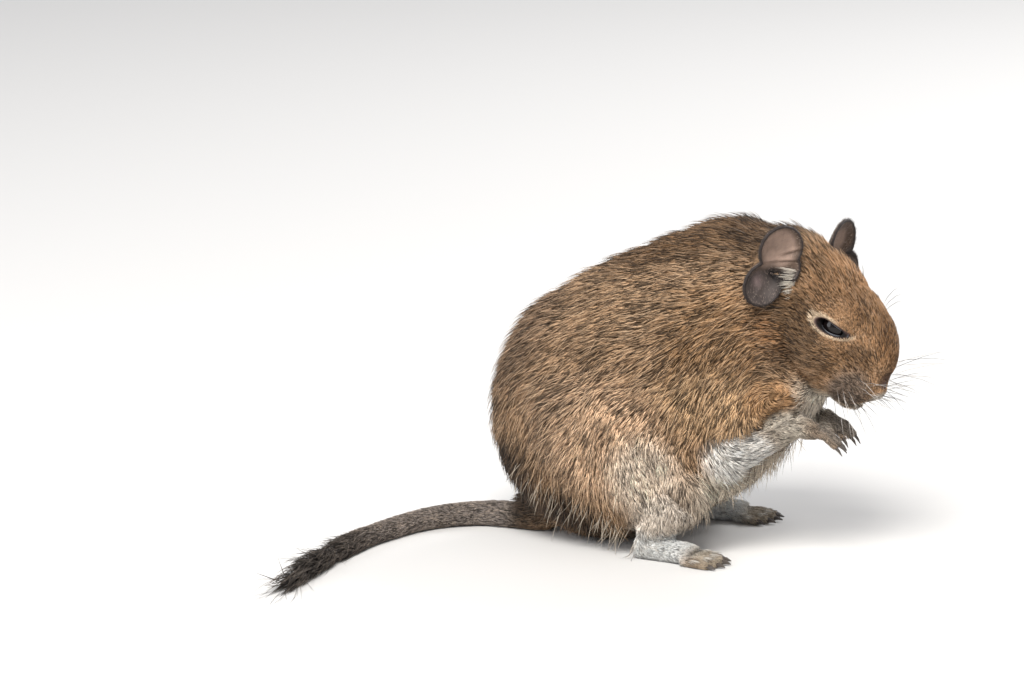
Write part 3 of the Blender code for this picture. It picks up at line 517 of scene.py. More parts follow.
def markings(points):
    """The colour of the coat at points, which skin and tufts share, with painted shade along the creases and the
    mouth, and a few painted shadows and a painted highlight among its marks.
    """
    base = np.tile(np.array(GROUND), (len(points), 1))
    base = spots(mirrored(points), base, BODY_MARKS)
    base = spots(points, base, ARM_MARKS)
    local = to_head(points)
    from_middle = np.linalg.norm(local - np.array(HEAD_MIDDLE) * MM, axis=1)
    is_head = (1 - smooth_step(24 * MM, 34 * MM, from_middle))[:, None]
    base = base * (1 - is_head) + spots(mirrored(local), base, HEAD_MARKS) * is_head
    # Painted shade along the mouth line.
    gap, _ = near_line(mirrored(local), curve_points(np.array(MOUTH) * MM, 5))
    base = base * (1 - MOUTH_SHADE * np.exp(-((gap / (0.8 * MM)) ** 2)))[:, None]
    along, across, _ = slit_place(points)
    ring = lid_ring(points)
    is_below = np.maximum(1 - smooth_step(-0.3 * MM, 0.3 * MM, across), 1 - smooth_step(-1 * MM, 3 * MM, along))
    pale = 0.85 * is_below * smooth_step(0.9, 1.05, ring) * (1 - smooth_step(1.2, 1.5, ring))
    base = base * (1 - pale[:, None]) + np.array(EYE_RING) * pale[:, None]
    # Painted shade along the skin's creases.
    for line, _, half in CREASES:
        gap, _ = near_line(mirrored(points), curve_points(np.array(line, dtype=float) * MM, 6))
        base = base * (1 - CREASE_SHADE * np.exp(-((gap / (half * MM)) ** 2)))[:, None]
    gap, share = near_line(points, TAIL_CURVE)
    is_tail = ((1 - smooth_step(5.5 * MM, 7 * MM, gap)) * smooth_step(0.0, 0.05, share))[:, None]
    is_tuft = smooth_step(0.42, 0.74, share)[:, None]
    below = (1 - smooth_step(0.0, 3 * MM, points[:, 2])) * (1 - smooth_step(0.4, 0.6, share))
    tail = (np.array(TAIL_GREY) * (1 - is_tuft) + np.array(TAIL_BLACK) * is_tuft) * (1 + 0.7 * below[:, None])
    base = base * (1 - is_tail) + tail * is_tail
    mottle = waves(points, 9 * MM, 3) * 0.10 + waves(points, 3.5 * MM, 4) * 0.08
    return np.clip(base * (1 + mottle[:, None]), 0.004, 0.9)


def sculpted(mesh):
    """Insets the skin by the coat's depth and presses the creases, mouth and nostrils into it."""
    places, normals = places_of(mesh), normals_of(mesh)
    sizes = coat_at(places)[1]
    far = slit_place(places)[2]
    inset = sizes[:, 2] * smooth_step(7.2 * MM, 10.5 * MM, far)
    moved = places - normals * inset[:, None]
    for line, depth, half in CREASES:
        gap, share = near_line(mirrored(places), curve_points(np.array(line, dtype=float) * MM, 6))
        fade = np.sin(math.pi * np.clip(share * 0.9 + 0.05, 0, 1)) ** 0.5
        moved -= normals * (depth * MM * fade * np.exp(-((gap / (half * MM)) ** 2)))[:, None]
    probe = mirrored(to_head(places))
    gap, _ = near_line(probe, curve_points(np.array(MOUTH) * MM, 5))
    moved -= normals * (1.0 * MM * np.exp(-((gap / (0.7 * MM)) ** 2)))[:, None]
    gap, _ = near_line(probe, np.array(CLEFT) * MM)
    moved -= normals * (0.5 * MM * np.exp(-((gap / (0.45 * MM)) ** 2)))[:, None]
    stretch = (probe - np.array(NOSTRIL) * MM) / (np.array((1.3, 0.75, 0.9)) * MM)
    hole = np.exp(-(np.linalg.norm(stretch, axis=1) ** 2))
    moved -= normals * (1.1 * MM * hole)[:, None]
    set_places(mesh, moved)


def skin_piece(nodes):
    """One skin over all the flesh, with no seam."""
    skin = joined("skin", [nodes[name] for name in FLESH])
    tip, stages = np.linspace(0.60, 1.0, 24), np.linspace(0, 1, len(TAIL_CURVE))
    line = np.column_stack([np.interp(tip, stages, TAIL_CURVE[:, k]) for k in range(3)])
    core = tube_mesh("core", line, line[:, 2] * 0.92, sides=14)
    form = bmesh.new()
    form.from_mesh(skin.data)
    form.from_mesh(core.data)
    form.to_mesh(skin.data)
    form.free()
    bpy.data.objects.remove(core, do_unlink=True)
    grow = skin.modifiers.new("grow", "DISPLACE")
    grow.strength = GAP_FILL
    grow.mid_level = 0.0
    grid = skin.modifiers.new("grid", "REMESH")
    grid.mode = "VOXEL"
    grid.voxel_size = SKIN_VOXEL
    even = skin.modifiers.new("even", "SMOOTH")
    even.factor = 0.5
    even.iterations = SKIN_SMOOTHING
    applied(skin)
    keep_largest(skin)
    sculpted(skin.data)
    even = skin.modifiers.new("even", "SMOOTH")
    even.factor = 0.5
    even.iterations = 2
    applied(skin)
    return skin


def keep_largest(thing):
    """Drops every closed surface but the largest."""
    form = bmesh.new()
    form.from_mesh(thing.data)
    left, best = set(form.verts), set()
    while left:
        found, edge = set(), [left.pop()]
        while edge:
            vertex = edge.pop()
            found.add(vertex)
            near = {link.other_vert(vertex) for link in vertex.link_edges} & left
            left -= near
            edge.extend(near)
        best = max(best, found, key=len)
    loose = [vertex for vertex in form.verts if vertex not in best]
    bmesh.ops.delete(form, geom=loose, context="VERTS")
    form.to_mesh(thing.data)
    form.free()


def thin_skin(skin):
    """Thins the skin under the long coat, where no detail of it shows."""
    places = places_of(skin.data)
    sizes = coat_at(places)[1]
    under = np.nonzero(sizes[:, 2] > 1.6 * MM)[0]
    group = skin.vertex_groups.new(name="under")
    group.add([int(k) for k in under], 1.0, "REPLACE")
    total = len(skin.data.polygons)
    share = len(under) / len(places)
    thin = skin.modifiers.new("thin", "DECIMATE")
    thin.ratio = max(0.1, 1 - share * 0.8)
    thin.vertex_group = group.name
    applied(skin)
    skin.vertex_groups.clear()
    print("skin faces", total, len(skin.data.polygons))


def unwrapped(skin):
    """A coarse copy of the skin in triangles, and its own unwrap, as arrays."""
    coarse = bpy.data.objects.new("coarse", skin.data.copy())
    bpy.context.scene.collection.objects.link(coarse)
    thin = coarse.modifiers.new("thin", "DECIMATE")
    thin.ratio = 9000 / (2 * len(skin.data.polygons))
    tris = coarse.modifiers.new("tris", "TRIANGULATE")
    tris.quad_method = "BEAUTY"
    applied(coarse)
    bpy.context.view_layer.objects.active = coarse
    coarse.select_set(True)
    bpy.ops.object.mode_set(mode="EDIT")
    bpy.ops.mesh.select_all(action="SELECT")
    bpy.ops.uv.smart_project(angle_limit=math.radians(66), island_margin=0.004)
    bpy.ops.object.mode_set(mode="OBJECT")
    mesh = coarse.data
    faces = np.empty(len(mesh.polygons) * 3, dtype=np.int32)
    mesh.loops.foreach_get("vertex_index", faces)
    patches = np.empty(len(mesh.loops) * 2, dtype=np.float32)
    mesh.uv_layers.active.uv.foreach_get("vector", patches)
    found = places_of(mesh), faces.reshape(-1, 3), patches.reshape(-1, 3, 2).astype(float)
    bpy.data.objects.remove(coarse, do_unlink=True)
    return found


def roots_on(skin, shell, count, weigh, draw):
    """Roots spread over the skin by weight: their places, normals and places on the unwrap."""
    places, faces, patches = shell
    corners = places[faces]
    middles = corners.mean(1)
    areas = np.linalg.norm(np.cross(corners[:, 1] - corners[:, 0], corners[:, 2] - corners[:, 0]), axis=1) / 2
    weights = areas * weigh(middles)
    chosen = draw.choice(len(faces), size=count, p=weights / weights.sum())
    split = draw.uniform(size=(count, 2))
    split = np.where((split.sum(1) > 1)[:, None], 1 - split, split)
    shares = np.column_stack([1 - split.sum(1), split])
    points = (corners[chosen] * shares[:, :, None]).sum(1)
    on_map = (patches[chosen] * shares[:, :, None]).sum(1)
    tree = BVHTree.FromObject(skin, bpy.context.evaluated_depsgraph_get())
    found = [tree.find_nearest(point)[:2] for point in points]
    points = np.array([place for place, _ in found])
    normals = np.array([normal for _, normal in found])
    return points, unit(normals), on_map


def tuft_shapes(roots, ups, ways, lengths, widths, rises, on_map):
    """Short tufts: thin closed spindles of six triangles that bend over towards their tips."""
    count = len(roots)
    aside = unit(np.cross(ups, ways))
    flat = np.sqrt(np.maximum(lengths**2 - rises**2, (0.3 * lengths) ** 2))
    tips = roots + ways * flat[:, None] + ups * rises[:, None]
    middles = roots + ways * (0.42 * flat)[:, None] + ups * (0.74 * rises)[:, None]
    half = (widths / 2)[:, None]
    sunk = roots - ups * 0.25 * MM
    places = np.stack([sunk, middles + aside * half, middles - aside * half, middles + ups * half * 0.8, tips], 1)
    pattern = np.array([(0, 3, 1), (0, 2, 3), (0, 1, 2), (4, 1, 3), (4, 3, 2), (4, 2, 1)])
    faces = (np.arange(count)[:, None, None] * 5 + pattern).reshape(-1, 3)
    spread = np.array([(0, -0.0015), (-0.0013, 0), (0.0013, 0), (0, 0.0002), (0, 0.0015)])
    patches = (on_map[:, None] + spread).reshape(-1, 2)
    return places.reshape(-1, 3), faces, np.clip(patches, 0.0005, 0.9995)


def hair_shapes(paths, widths, ups, on_map):
    """Long hairs: closed and three-sided, along paths of four points each."""
    count = len(paths)
    ways = unit(paths[:, 3] - paths[:, 0])
    aside = unit(np.cross(ups, ways))
    above = unit(np.cross(ways, aside))
    places = [paths[:, 0]]
    for k, share in ((1, 1.0), (2, 0.8)):
        half = (widths * share / 2)[:, None]
        for angle in (0.5, 2.6, 4.7):
            places.append(paths[:, k] + half * (aside * math.cos(angle) + above * math.sin(angle)))
    places = np.stack([*places, paths[:, 3]], 1)
    pattern = [(0, 2, 1), (0, 3, 2), (0, 1, 3)]
    for a, b in ((1, 2), (2, 3), (3, 1)):
        pattern += [(a, b, b + 3), (a, b + 3, a + 3)]
    pattern += [(7, 4, 5), (7, 5, 6), (7, 6, 4)]
    faces = (np.arange(count)[:, None, None] * 8 + np.array(pattern)).reshape(-1, 3)
    spread = np.array([(0, -0.0015), *[(-0.001 + 0.001 * k, -0.0003) for k in range(3)],
                       *[(-0.001 + 0.001 * k, 0.0006) for k in range(3)], (0, 0.0015)])
    patches = (on_map[:, None] + spread).reshape(-1, 2)
    return places.reshape(-1, 3), faces, np.clip(patches, 0.0005, 0.9995)


def pale_glow(base):
    """The tone of a pale tick, weaker where the coat is dark."""
    return np.clip(base.mean(1) / 0.22, 0.2, 1.0)[:, None] * np.array(TICK_PALE)


def ticked(base, roots, leaders, draw):
    """Agouti colours of a tuft: at its root, in its middle and at its tip."""
    count = len(roots)
    kind = draw.uniform(size=count)
    kind = np.where(draw.uniform(size=count) < TICK_SHARED, kind[leaders], kind) + waves(roots, 5 * MM, 8) * 0.10
    bright = base.sum(1) / 3
    ticking = np.clip(0.34 - 0.60 * (bright - 0.20), 0.05, 0.34)
    is_dark, is_pale = kind < ticking, kind > 0.82
    middle = base * draw.uniform(0.85, 1.15, size=(count, 1))
    tip = base * (draw.uniform(0.95, 1.35, size=count) - 0.25 * bright)[:, None]
    middle[is_dark] = base[is_dark] * 0.36
    tip[is_dark] = np.array(TICK_DARK) + base[is_dark] * 0.06
    glow = pale_glow(base[is_pale])
    middle[is_pale] = base[is_pale] * 0.8 + glow * 0.14
    tip[is_pale] = base[is_pale] * 0.75 + glow * 0.34
    return np.stack([base * ROOT_SHADE, middle, middle, middle, tip], 1)


def laid(roots, ups, ways, draw, spread):
    """Turns each way into the surface at its root, with a little disorder."""
    swirl = waves(roots, 8 * MM, 5) * 0.18 + draw.normal(0, spread, size=len(roots))
    flat = unit(ways - ups * (ways * ups).sum(1, keepdims=True))
    aside = np.cross(ups, flat)
    return unit(flat * np.cos(swirl)[:, None] + aside * np.sin(swirl)[:, None])


def locks_of(roots, draw):
    """The lock that each root belongs to, and the root that leads it."""
    leaders = draw.choice(len(roots), size=len(roots) // LOCK_TUFTS, replace=False)
    tree = KDTree(len(leaders))
    for k, leader in enumerate(leaders):
        tree.insert(roots[leader], k)
    tree.balance()
    locks = np.array([tree.find(root)[1] for root in roots])
    return locks, leaders[locks]


def coat_pieces(skin, shell):
    """The short coat, in pieces by part of the body."""
    draw = np.random.default_rng(SEED)
    share = 1.0

    def weigh(points):
        sizes = coat_at(points)[1]
        return 1 / (sizes[:, 0] * sizes[:, 1]) ** 0.80

    roots, ups, on_map = roots_on(skin, shell, int(TUFTS * share), weigh, draw)
    keep = draw.uniform(size=len(roots)) > bare_at(roots)
    roots, ups, on_map = roots[keep], ups[keep], on_map[keep]
    lies, sizes = coat_at(roots)
    far = slit_place(roots)[2]
    near_eye = 1 - smooth_step(6.5 * MM, 10 * MM, far)
    ways = laid(roots, ups, lies, draw, 0.18)
    count = len(roots)
    lengths = sizes[:, 0] * draw.uniform(0.70, 1.25, size=count) * (1 - 0.55 * near_eye)
    widths = sizes[:, 1] * draw.uniform(0.75, 1.25, size=count) / math.sqrt(share)
    rises = sizes[:, 3] * draw.uniform(0.55, 1.10, size=count) * (1 - 0.6 * near_eye)
    rises *= 1 + 0.10 * waves(roots, 7 * MM, 6)
    locks, leaders = locks_of(roots, draw)
    ends = roots + ways * lengths[:, None]
    ways = unit(ways + (ends[leaders] - ends) * (LOCK_PULL / lengths)[:, None])
    shade = np.clip(draw.normal(1.0, LOCK_SHADE, size=count), 0.7, 1.35)[locks]
    colours = ticked(markings(roots) * shade[:, None], roots, leaders, draw)
    places, faces, patches = tuft_shapes(roots, ups, ways, lengths, widths, rises, on_map)
    places[:, 2] = np.maximum(places[:, 2], FLOOR_GAP)
    colours = np.clip(colours, 0.003, 0.9).reshape(-1, 3)
    return split_pieces("coat", roots, places, faces, patches, colours)


def split_pieces(name, roots, places, faces, patches, colours):
    """Cuts a run of like shapes into pieces along the body, none of too many triangles."""
    corners, sides = len(places) // len(roots), len(faces) // len(roots)
    order = np.argsort(roots[:, 0], kind="stable")
    number = math.ceil(len(faces) / PIECE_TRIANGLES)
    made = []
    for k, chosen in enumerate(np.array_split(order, number)):
        take = (chosen[:, None] * corners + np.arange(corners)).ravel()
        part = (np.arange(len(chosen))[:, None, None] * corners + faces[:sides]).reshape(-1, 3)
        made.append(mesh_from(f"{name}_{k + 1}", places[take], part, colours[take], patches[take]))
    return made


def bent_paths(roots, ups, ways, lengths, rises):
    """Paths of long hairs that leave the skin and bend over along their ways."""
    flat = np.sqrt(np.maximum(lengths**2 - rises**2, (0.4 * lengths) ** 2))
    points = [roots + ways * (flat * on)[:, None] + ups * (rises * up)[:, None] for on, up in HAIR_BEND]
    return np.stack(points, 1)


def guard_pieces(skin, shell):
    """Longer single hairs that break the coat's outline."""
    draw = np.random.default_rng(SEED + 1)
    count = int(GUARD_HAIRS * (1.0))

    def weigh(points):
        return smooth_step(3.0 * MM, 6.0 * MM, coat_at(points)[1][:, 0]) + 0.02

    roots, ups, on_map = roots_on(skin, shell, count, weigh, draw)
    lies, sizes = coat_at(roots)
    ways = laid(roots, ups, lies, draw, 0.25)
    lengths = sizes[:, 0] * draw.uniform(1.2, 1.8, size=count)
    rises = sizes[:, 3] * draw.uniform(1.0, 1.5, size=count)
    hem = (1 - smooth_step(14 * MM, 40 * MM, roots[:, 2])) * smooth_step(16 * MM, 26 * MM, abs(roots[:, 1]))
    widths = 0.16 * MM * draw.uniform(0.8, 1.3, size=count)
    paths = bent_paths(roots, ups, ways, lengths * (1 + 0.25 * hem), rises)
    places, faces, patches = hair_shapes(paths, widths, ups, on_map)
    places[:, 2] = np.maximum(places[:, 2], FLOOR_GAP)
    base = markings(roots)
    is_dark = draw.uniform(size=count) < 0.5 - 0.35 * hem
    tone = np.where(is_dark[:, None], base * 0.16 + 0.006, base * 0.9 + pale_glow(base) * 0.22)
    colours = np.repeat(np.clip(tone, 0.003, 0.8), HAIR_CORNERS, axis=0)
    return split_pieces("guard_hair", roots, places, faces, patches, colours)


def fringe_piece(skin):
    """Long pale hairs that hang from the hem of the haunches, the belly and the chest."""
    draw = np.random.default_rng(SEED + 3)
    tree = BVHTree.FromObject(skin, bpy.context.evaluated_depsgraph_get())
    roots, ups, ways, lengths = [], [], [], []
    for line, way, (short, long), count, spread in FRINGES:
        path = curve_points(np.array(line, dtype=float) * MM, 8)
        stages = np.linspace(0, 1, len(path))
        for side in (-1, 1):
            for share in draw.uniform(size=count):
                point = np.array([np.interp(share, stages, path[:, k]) for k in range(3)])
                point += draw.normal(0, spread * MM, size=3)
                place, up = tree.find_nearest(point * (1, side, 1))[:2]
                roots.append(place)
                ups.append(up)
                ways.append(np.array((way[0], side * way[1], way[2])) + draw.normal(0, 0.16, size=3))
                lengths.append(draw.uniform(short, long) * MM)
    roots, ups, ways, lengths = np.array(roots), np.array(ups), unit(np.array(ways)), np.array(lengths)
    flat = unit(ways - ups * (0.75 * (ways * ups).sum(1, keepdims=True)))
    paths = bent_paths(roots, ups, flat, lengths, draw.uniform(1.6, 3.4, size=len(roots)) * MM)
    is_dark = draw.uniform(size=(len(roots), 1)) < 0.12
    tone = np.where(is_dark, np.array(TICK_DARK) * 2, np.array(FRINGE_PALE))
    return line_hairs("fringe", paths, 0.17 * MM, tone * draw.uniform(0.65, 1.15, size=(len(roots), 1)), ups)


def toe_bristles():
    """The comb of stiff pale bristles over each hind claw."""
    draw = np.random.default_rng(SEED + 4)
    paths = []
    for side in (-1, 1):
        for tip, turn in TOE_TIPS:
            ahead = np.array((math.cos(math.radians(turn)), math.sin(math.radians(turn)), 0))
            aside = np.array((-ahead[1], ahead[0], 0))
            for share in np.linspace(-1, 1, BRISTLES):
                start = np.array(tip) + aside * share * 1.1 - ahead * draw.uniform(0.2, 1.2)
                start[2] += 0.5 * (1 - share**2)
                way = ahead + aside * (0.25 * share + draw.normal(0, 0.08)) + np.array((0, 0, 0.12))
                long = draw.uniform(2.6, 3.9)
                drop = np.array((0, 0, -0.9)) * draw.uniform(0.6, 1.2)
                points = [start + way * long * t + drop * t**2 for t in (-0.15, 0.3, 0.65, 1.0)]
                paths.append([point * (1, side, 1) * MM for point in points])
    tone = np.array(BRISTLE_PALE) * draw.uniform(0.6, 1.15, size=(len(paths), 1))
    return line_hairs("toe_bristles", paths, 0.15 * MM, tone)


def line_hairs(name, paths, width, tones, ups=None):
    """Hairs along paths of four points given one by one, such as whiskers and bristles."""
    paths = np.array(paths)
    count = len(paths)
    ups = np.tile((0.0, 0.0, 1.0), (count, 1)) if ups is None else ups
    on_map = np.column_stack([np.linspace(0.01, 0.99, count), np.full(count, 0.5)])
    places, faces, patches = hair_shapes(paths, np.full(count, width), ups, on_map)
    places[:, 2] = np.maximum(places[:, 2], FLOOR_GAP)
    return mesh_from(name, places, faces, np.repeat(np.array(tones), HAIR_CORNERS, axis=0), patches)


def shortened(path):
    """A hair drawn in towards its root, until it keeps near the solids' own box."""
    low, high = np.array(CAD_BOX[0]), np.array(CAD_BOX[1])
    spare = (high - low) * 0.03 + 9 * MM
    reach = np.array(path) - path[0]
    room = np.where(reach > 0, high + spare - path[0], low - spare - path[0])
    return path[0] + reach / max(1.0, (reach / room).max())


def whiskers(skin):
    """Long whiskers in rows on each pad, a few above each eye."""
    draw = np.random.default_rng(SEED + 2)
    tree = BVHTree.FromObject(skin, bpy.context.evaluated_depsgraph_get())
    paths, tones = [], []
    for side in (-1, 1):
        for row in range(5):
            for column in range(6):
                place = np.array((38.6 - 1.5 * column, side * (5.4 + 0.7 * column), -3.8 - 1.9 * row))
                root = np.array(tree.find_nearest(from_head(place * MM))[0])
                up = 0.34 - 0.17 * row - 0.05 * column + draw.uniform(-0.10, 0.10)
                out = 0.30 + 0.12 * column + draw.uniform(-0.08, 0.08)
                way = unit(np.array([(0.85 - 0.10 * column, side * out, up)]))[0]
                length = (12 + 5.5 * column) * (1.1 - 0.14 * row) * draw.uniform(0.8, 1.15) * MM
                sag = np.array((0, 0, -1)) * length * draw.uniform(0.08, 0.26)
                paths.append([root + way * length * t + sag * t**2 for t in (-0.03, 0.3, 0.65, 1.0)])
                tones.append(WHISKER_DARK if draw.uniform() < 0.7 else WHISKER_PALE)
        for k in range(3):
            place = np.array((18.0 - 1.2 * k, side * (10.5 + 0.6 * k), 9.0))
            root = np.array(tree.find_nearest(from_head(place * MM))[0])
            way = unit(np.array([(0.45 - 0.12 * k, side * 0.45, 0.65)]))[0]
            length = (9 + 1.5 * k) * MM
            bend = np.array((0.1, 0, -0.35)) * length
            paths.append([root + way * length * t + bend * t**2 for t in (-0.03, 0.3, 0.65, 1.0)])
            tones.append(WHISKER_DARK)
    return line_hairs("whiskers", [shortened(path) for path in paths], 0.16 * MM, tones)


# Ears, with places in an ear's own plane: forward and up from its root.

EAR_SPECS = {
    "right": {"side": -1, "root": (-3.4, -16.8, -2.0), "outward": 0.45, "pale_reach": 7.6},
    # The left ear's pale patch reaches less far, so its upper lobe is browner: painted shade on the far ear.
    "left": {"side": 1, "root": (-3.3, 14.3, -7.2), "outward": 0.07, "pale_reach": 5.6},
}
EAR_DROOP = 0.136
EAR_LOBES = (((-5.4, 12.5), 7.9), ((-11.2, 0.8), 7.2), ((-3.0, 5.6), 5.2))

# The folds of an ear's inner face: middle, reach along and across, turn in degrees, and height.
EAR_FOLDS = (
    ((-4.4, 2.2), (3.3, 1.9), -38, -2.2),
    ((-6.2, 7.9), (5.2, 0.8), 4, 0.75),
    ((-0.6, 10.0), (3.2, 0.55), 26, -0.55),
    ((-0.6, 11.3), (3.2, 0.6), 24, 0.35),
    ((-1.6, 7.2), (3.0, 0.5), 8, -0.45),
    ((0.4, 3.0), (3.4, 1.0), 82, 0.8),
    ((-11.6, -1.6), (3.0, 0.8), 48, 0.40),
)
EAR_PINK, EAR_BROWN, EAR_GREY = (0.265, 0.186, 0.146), (0.095, 0.064, 0.047), (0.066, 0.053, 0.048)
# The rim's tone is the ear's own dark edge deepened by painted shade; the pit's tone is painted shade in the opening.
EAR_RIM_AND_SHADE, EAR_PIT_SHADE, EAR_BACK = (0.022, 0.017, 0.016), (0.008, 0.006, 0.006), (0.17, 0.125, 0.10)
EAR_SHEEN = ((-12.0, 1.6), 2.0, (0.26, 0.19, 0.18))
EAR_DOWN, EAR_FAN, FAN_PALE = 5200, 64, (0.80, 0.73, 0.62)

# The flesh that bears an ear, in its axes: middle and radii. Fur grows on it, so long and so wide.
EAR_PLUG = ((-3.7, 2.8, -3.8), (6.2, 7.0, 6.8))
PLUG_FUR, PLUG_WIDTH = (2.4, 3.8), 0.26


def ear_axes(spec):
    """An ear's own axes, as the solids have them: forward, up and out of its opening."""
    turned = Matrix.Rotation(math.radians(-18), 3, "Z")
    ahead, outward = turned @ Vector((1, 0, 0)), turned @ Vector((0, spec["side"], 0))
    aside, onward = spec["outward"], math.sqrt(1 - spec["outward"] ** 2)
    facing = (onward * ahead + aside * outward - Vector((0, 0, EAR_DROOP))).normalized()
    forward = (aside * ahead - onward * outward).normalized()
    up = (forward.cross(facing) * spec["side"]).normalized()
    axes = np.eye(4)
    axes[:3, :3] = np.array((forward, up, facing)).T
    axes[:3, 3] = HEAD @ (Vector(spec["root"]) * MM)
    return axes


def in_ear(points, axes):
    """Points in an ear's own plane, in millimetres: forward, up and how far inside its edge."""
    back = np.linalg.inv(axes)
    a, b = (points @ back[:3, :3].T + back[:3, 3]).T[:2] / MM
    lobes = [radius - np.hypot(a - x, b - y) for (x, y), radius in EAR_LOBES]
    return a, b, np.max(lobes, axis=0)


def on_plug(points, axes):
    """1 on the flesh that bears an ear, and 0 on its cup."""
    back = np.linalg.inv(axes)
    local = (points @ back[:3, :3].T + back[:3, 3]) / MM
    far = np.linalg.norm((local - np.array(EAR_PLUG[0])) / np.array(EAR_PLUG[1]), axis=1)
    return (1 - smooth_step(0.08, 0.20, abs(far - 1))) * (1 - smooth_step(-2.8, -1.4, local[:, 2]))


def oval(a, b, place, reach, turn):
    """A soft turned oval: 1 at its middle, falling off along and across it."""
    cosine, sine = math.cos(math.radians(turn)), math.sin(math.radians(turn))
    x, y = a - place[0], b - place[1]
    onward, aside = (x * cosine + y * sine) / reach[0], (y * cosine - x * sine) / reach[1]
    return np.exp(-(onward**2) - aside**2)


def ear_piece(name, node, spec):
    """A smooth ear over the solid one, with its folds, its dark rim deepened by painted shade, and its opening dark
    with painted shade.
    """
    thing = joined(f"ear_skin_{name}", [node])
    grid = thing.modifiers.new("grid", "REMESH")
    grid.mode = "VOXEL"
    grid.voxel_size = 0.24 * MM
    even = thing.modifiers.new("even", "SMOOTH")
    even.factor = 0.5
    even.iterations = 6
    applied(thing)
    axes = ear_axes(spec)
    places = places_of(thing.data)
    a, b, depth = in_ear(places, axes)
    is_inner = (normals_of(thing.data) @ axes[:3, 2]) > 0
    shift = is_inner * 0.22 * np.exp(-(((depth - 0.5) / 0.45) ** 2))
    folds = [height * oval(a, b, place, reach, turn) for place, reach, turn, height in EAR_FOLDS]
    shift += folds[0] + is_inner * np.sum(folds[1:], axis=0)
    places += (shift * MM)[:, None] * axes[:3, 2]
    set_places(thing.data, places)

    def blended(tone, other, share):
        return tone * (1 - share[:, None]) + np.array(other) * share[:, None]

    (x, y), _ = EAR_LOBES[0]
    from_patch = np.hypot(a - x + 0.6, (b - y + 0.8) * 0.9)
    tone = blended(np.array(EAR_PINK), EAR_BROWN, smooth_step(spec["pale_reach"] - 2, spec["pale_reach"], from_patch))
    tone = blended(tone, EAR_GREY, 1 - smooth_step(2.8, 6.8, b))
    (x, y), reach, sheen = EAR_SHEEN
    tone = blended(tone, sheen, 0.8 * np.exp(-(((a - x) ** 2 + (b - y) ** 2) / reach**2)))
    tone *= (1 + 0.10 * waves(places, 2.6 * MM, 21) + 0.07 * waves(places, 0.9 * MM, 23))[:, None]
    # Painted shade, near black, in the ear's opening.
    tone = blended(tone, EAR_PIT_SHADE, np.minimum(1, 1.5 * oval(a, b, *EAR_FOLDS[0][:3])))
    # The ear's dark edge, widened and deepened by painted shade.
    tone = blended(tone, EAR_RIM_AND_SHADE, 0.95 * (1 - smooth_step(0.35, 1.15, depth)))
    outer = np.array(EAR_BACK) * (1 + 0.2 * waves(places, 3 * MM, 22))[:, None]
    furred = on_plug(places, axes)[:, None]
    outer = outer * (1 - furred) + markings(places) * 0.7 * furred
    paint_mesh(thing.data, np.clip(np.where(is_inner[:, None], tone, outer), 0.004, 0.8))
    return thing


def ear_down(name, ear, spec):
    """Fine down on an ear, and the white hairs that fan over its opening from the front edge."""
    draw = np.random.default_rng(SEED + 30 + spec["side"])
    axes = ear_axes(spec)
    chosen = draw.choice(len(ear.data.vertices), size=EAR_DOWN, replace=False)
    roots, ups = places_of(ear.data)[chosen], normals_of(ear.data)[chosen]
    a, b, depth = in_ear(roots, axes)
    is_inner = ups @ axes[:3, 2] > 0
    keep = ~is_inner | (draw.uniform(size=len(chosen)) < 0.22 + 0.5 * (1 - smooth_step(0.5, 2.5, depth)))
    roots, ups, a, b, is_inner = roots[keep], ups[keep], a[keep], b[keep], is_inner[keep]
    outward = np.column_stack([a + 8.5, b - 6.5, np.zeros(len(a))])
    is_fur = (on_plug(roots, axes) > 0.5) & ~is_inner
    lies = np.where(is_fur[:, None], coat_at(roots)[0], unit(outward) @ axes[:3, :3].T)
    ways = laid(roots, ups, lies, draw, 0.30)
    lengths = draw.uniform(0.7, 1.4, size=len(roots)) * MM
    lengths = np.where(is_fur, draw.uniform(*PLUG_FUR, size=len(roots)) * MM, lengths)
    on_map = np.column_stack([0.5 + a / 60, 0.5 + b / 60])
    widths = np.where(is_fur, PLUG_WIDTH, 0.075) * MM
    places, faces, patches = tuft_shapes(roots, ups, ways, lengths, widths, lengths * 0.25, on_map)
    tone = np.where(is_inner[:, None], np.array((0.40, 0.31, 0.26)), np.array((0.22, 0.16, 0.115)))
    # Down is darkened near the ear's edge to match its dark rim, partly painted shade.
    tone = tone * (0.15 + 0.85 * smooth_step(0.5, 1.5, depth[keep]))[:, None]
    tone = np.where(is_fur[:, None], markings(roots), tone)
    tone = np.clip(tone * draw.uniform(0.5, 1.3, size=(len(roots), 1)), 0, 0.8)
    down = mesh_from(f"ear_down_{name}", places, faces, np.repeat(tone, 5, axis=0), patches)
    paths, tones = [], []
    for share in np.linspace(0, 1, EAR_FAN):
        start = np.array((1.6, 4.6 - 8.4 * share, 1.6)) + draw.uniform(-0.5, 0.5, size=3)
        reach = draw.uniform(5.0, 9.0) * (1 - 0.25 * share)
        climb = 1.6 - 2.6 * share + draw.uniform(-0.7, 0.7)
        end = start + np.array((-reach, climb, draw.uniform(-0.2, 1.4)))
        middle = (start + end) / 2 + np.array((0, 0.3, 0.9))
        points = [start, start * 0.6 + middle * 0.4, middle * 0.6 + end * 0.4, end]
        paths.append([axes[:3, :3] @ (point * MM) + axes[:3, 3] for point in points])
        tones.append(np.array(FAN_PALE) * draw.uniform(0.6, 1.15))
    ups = np.tile(axes[:3, 2], (EAR_FAN, 1))
    return [down, line_hairs(f"ear_fan_{name}", paths, 0.14 * MM, tones, ups)]


# Eyes

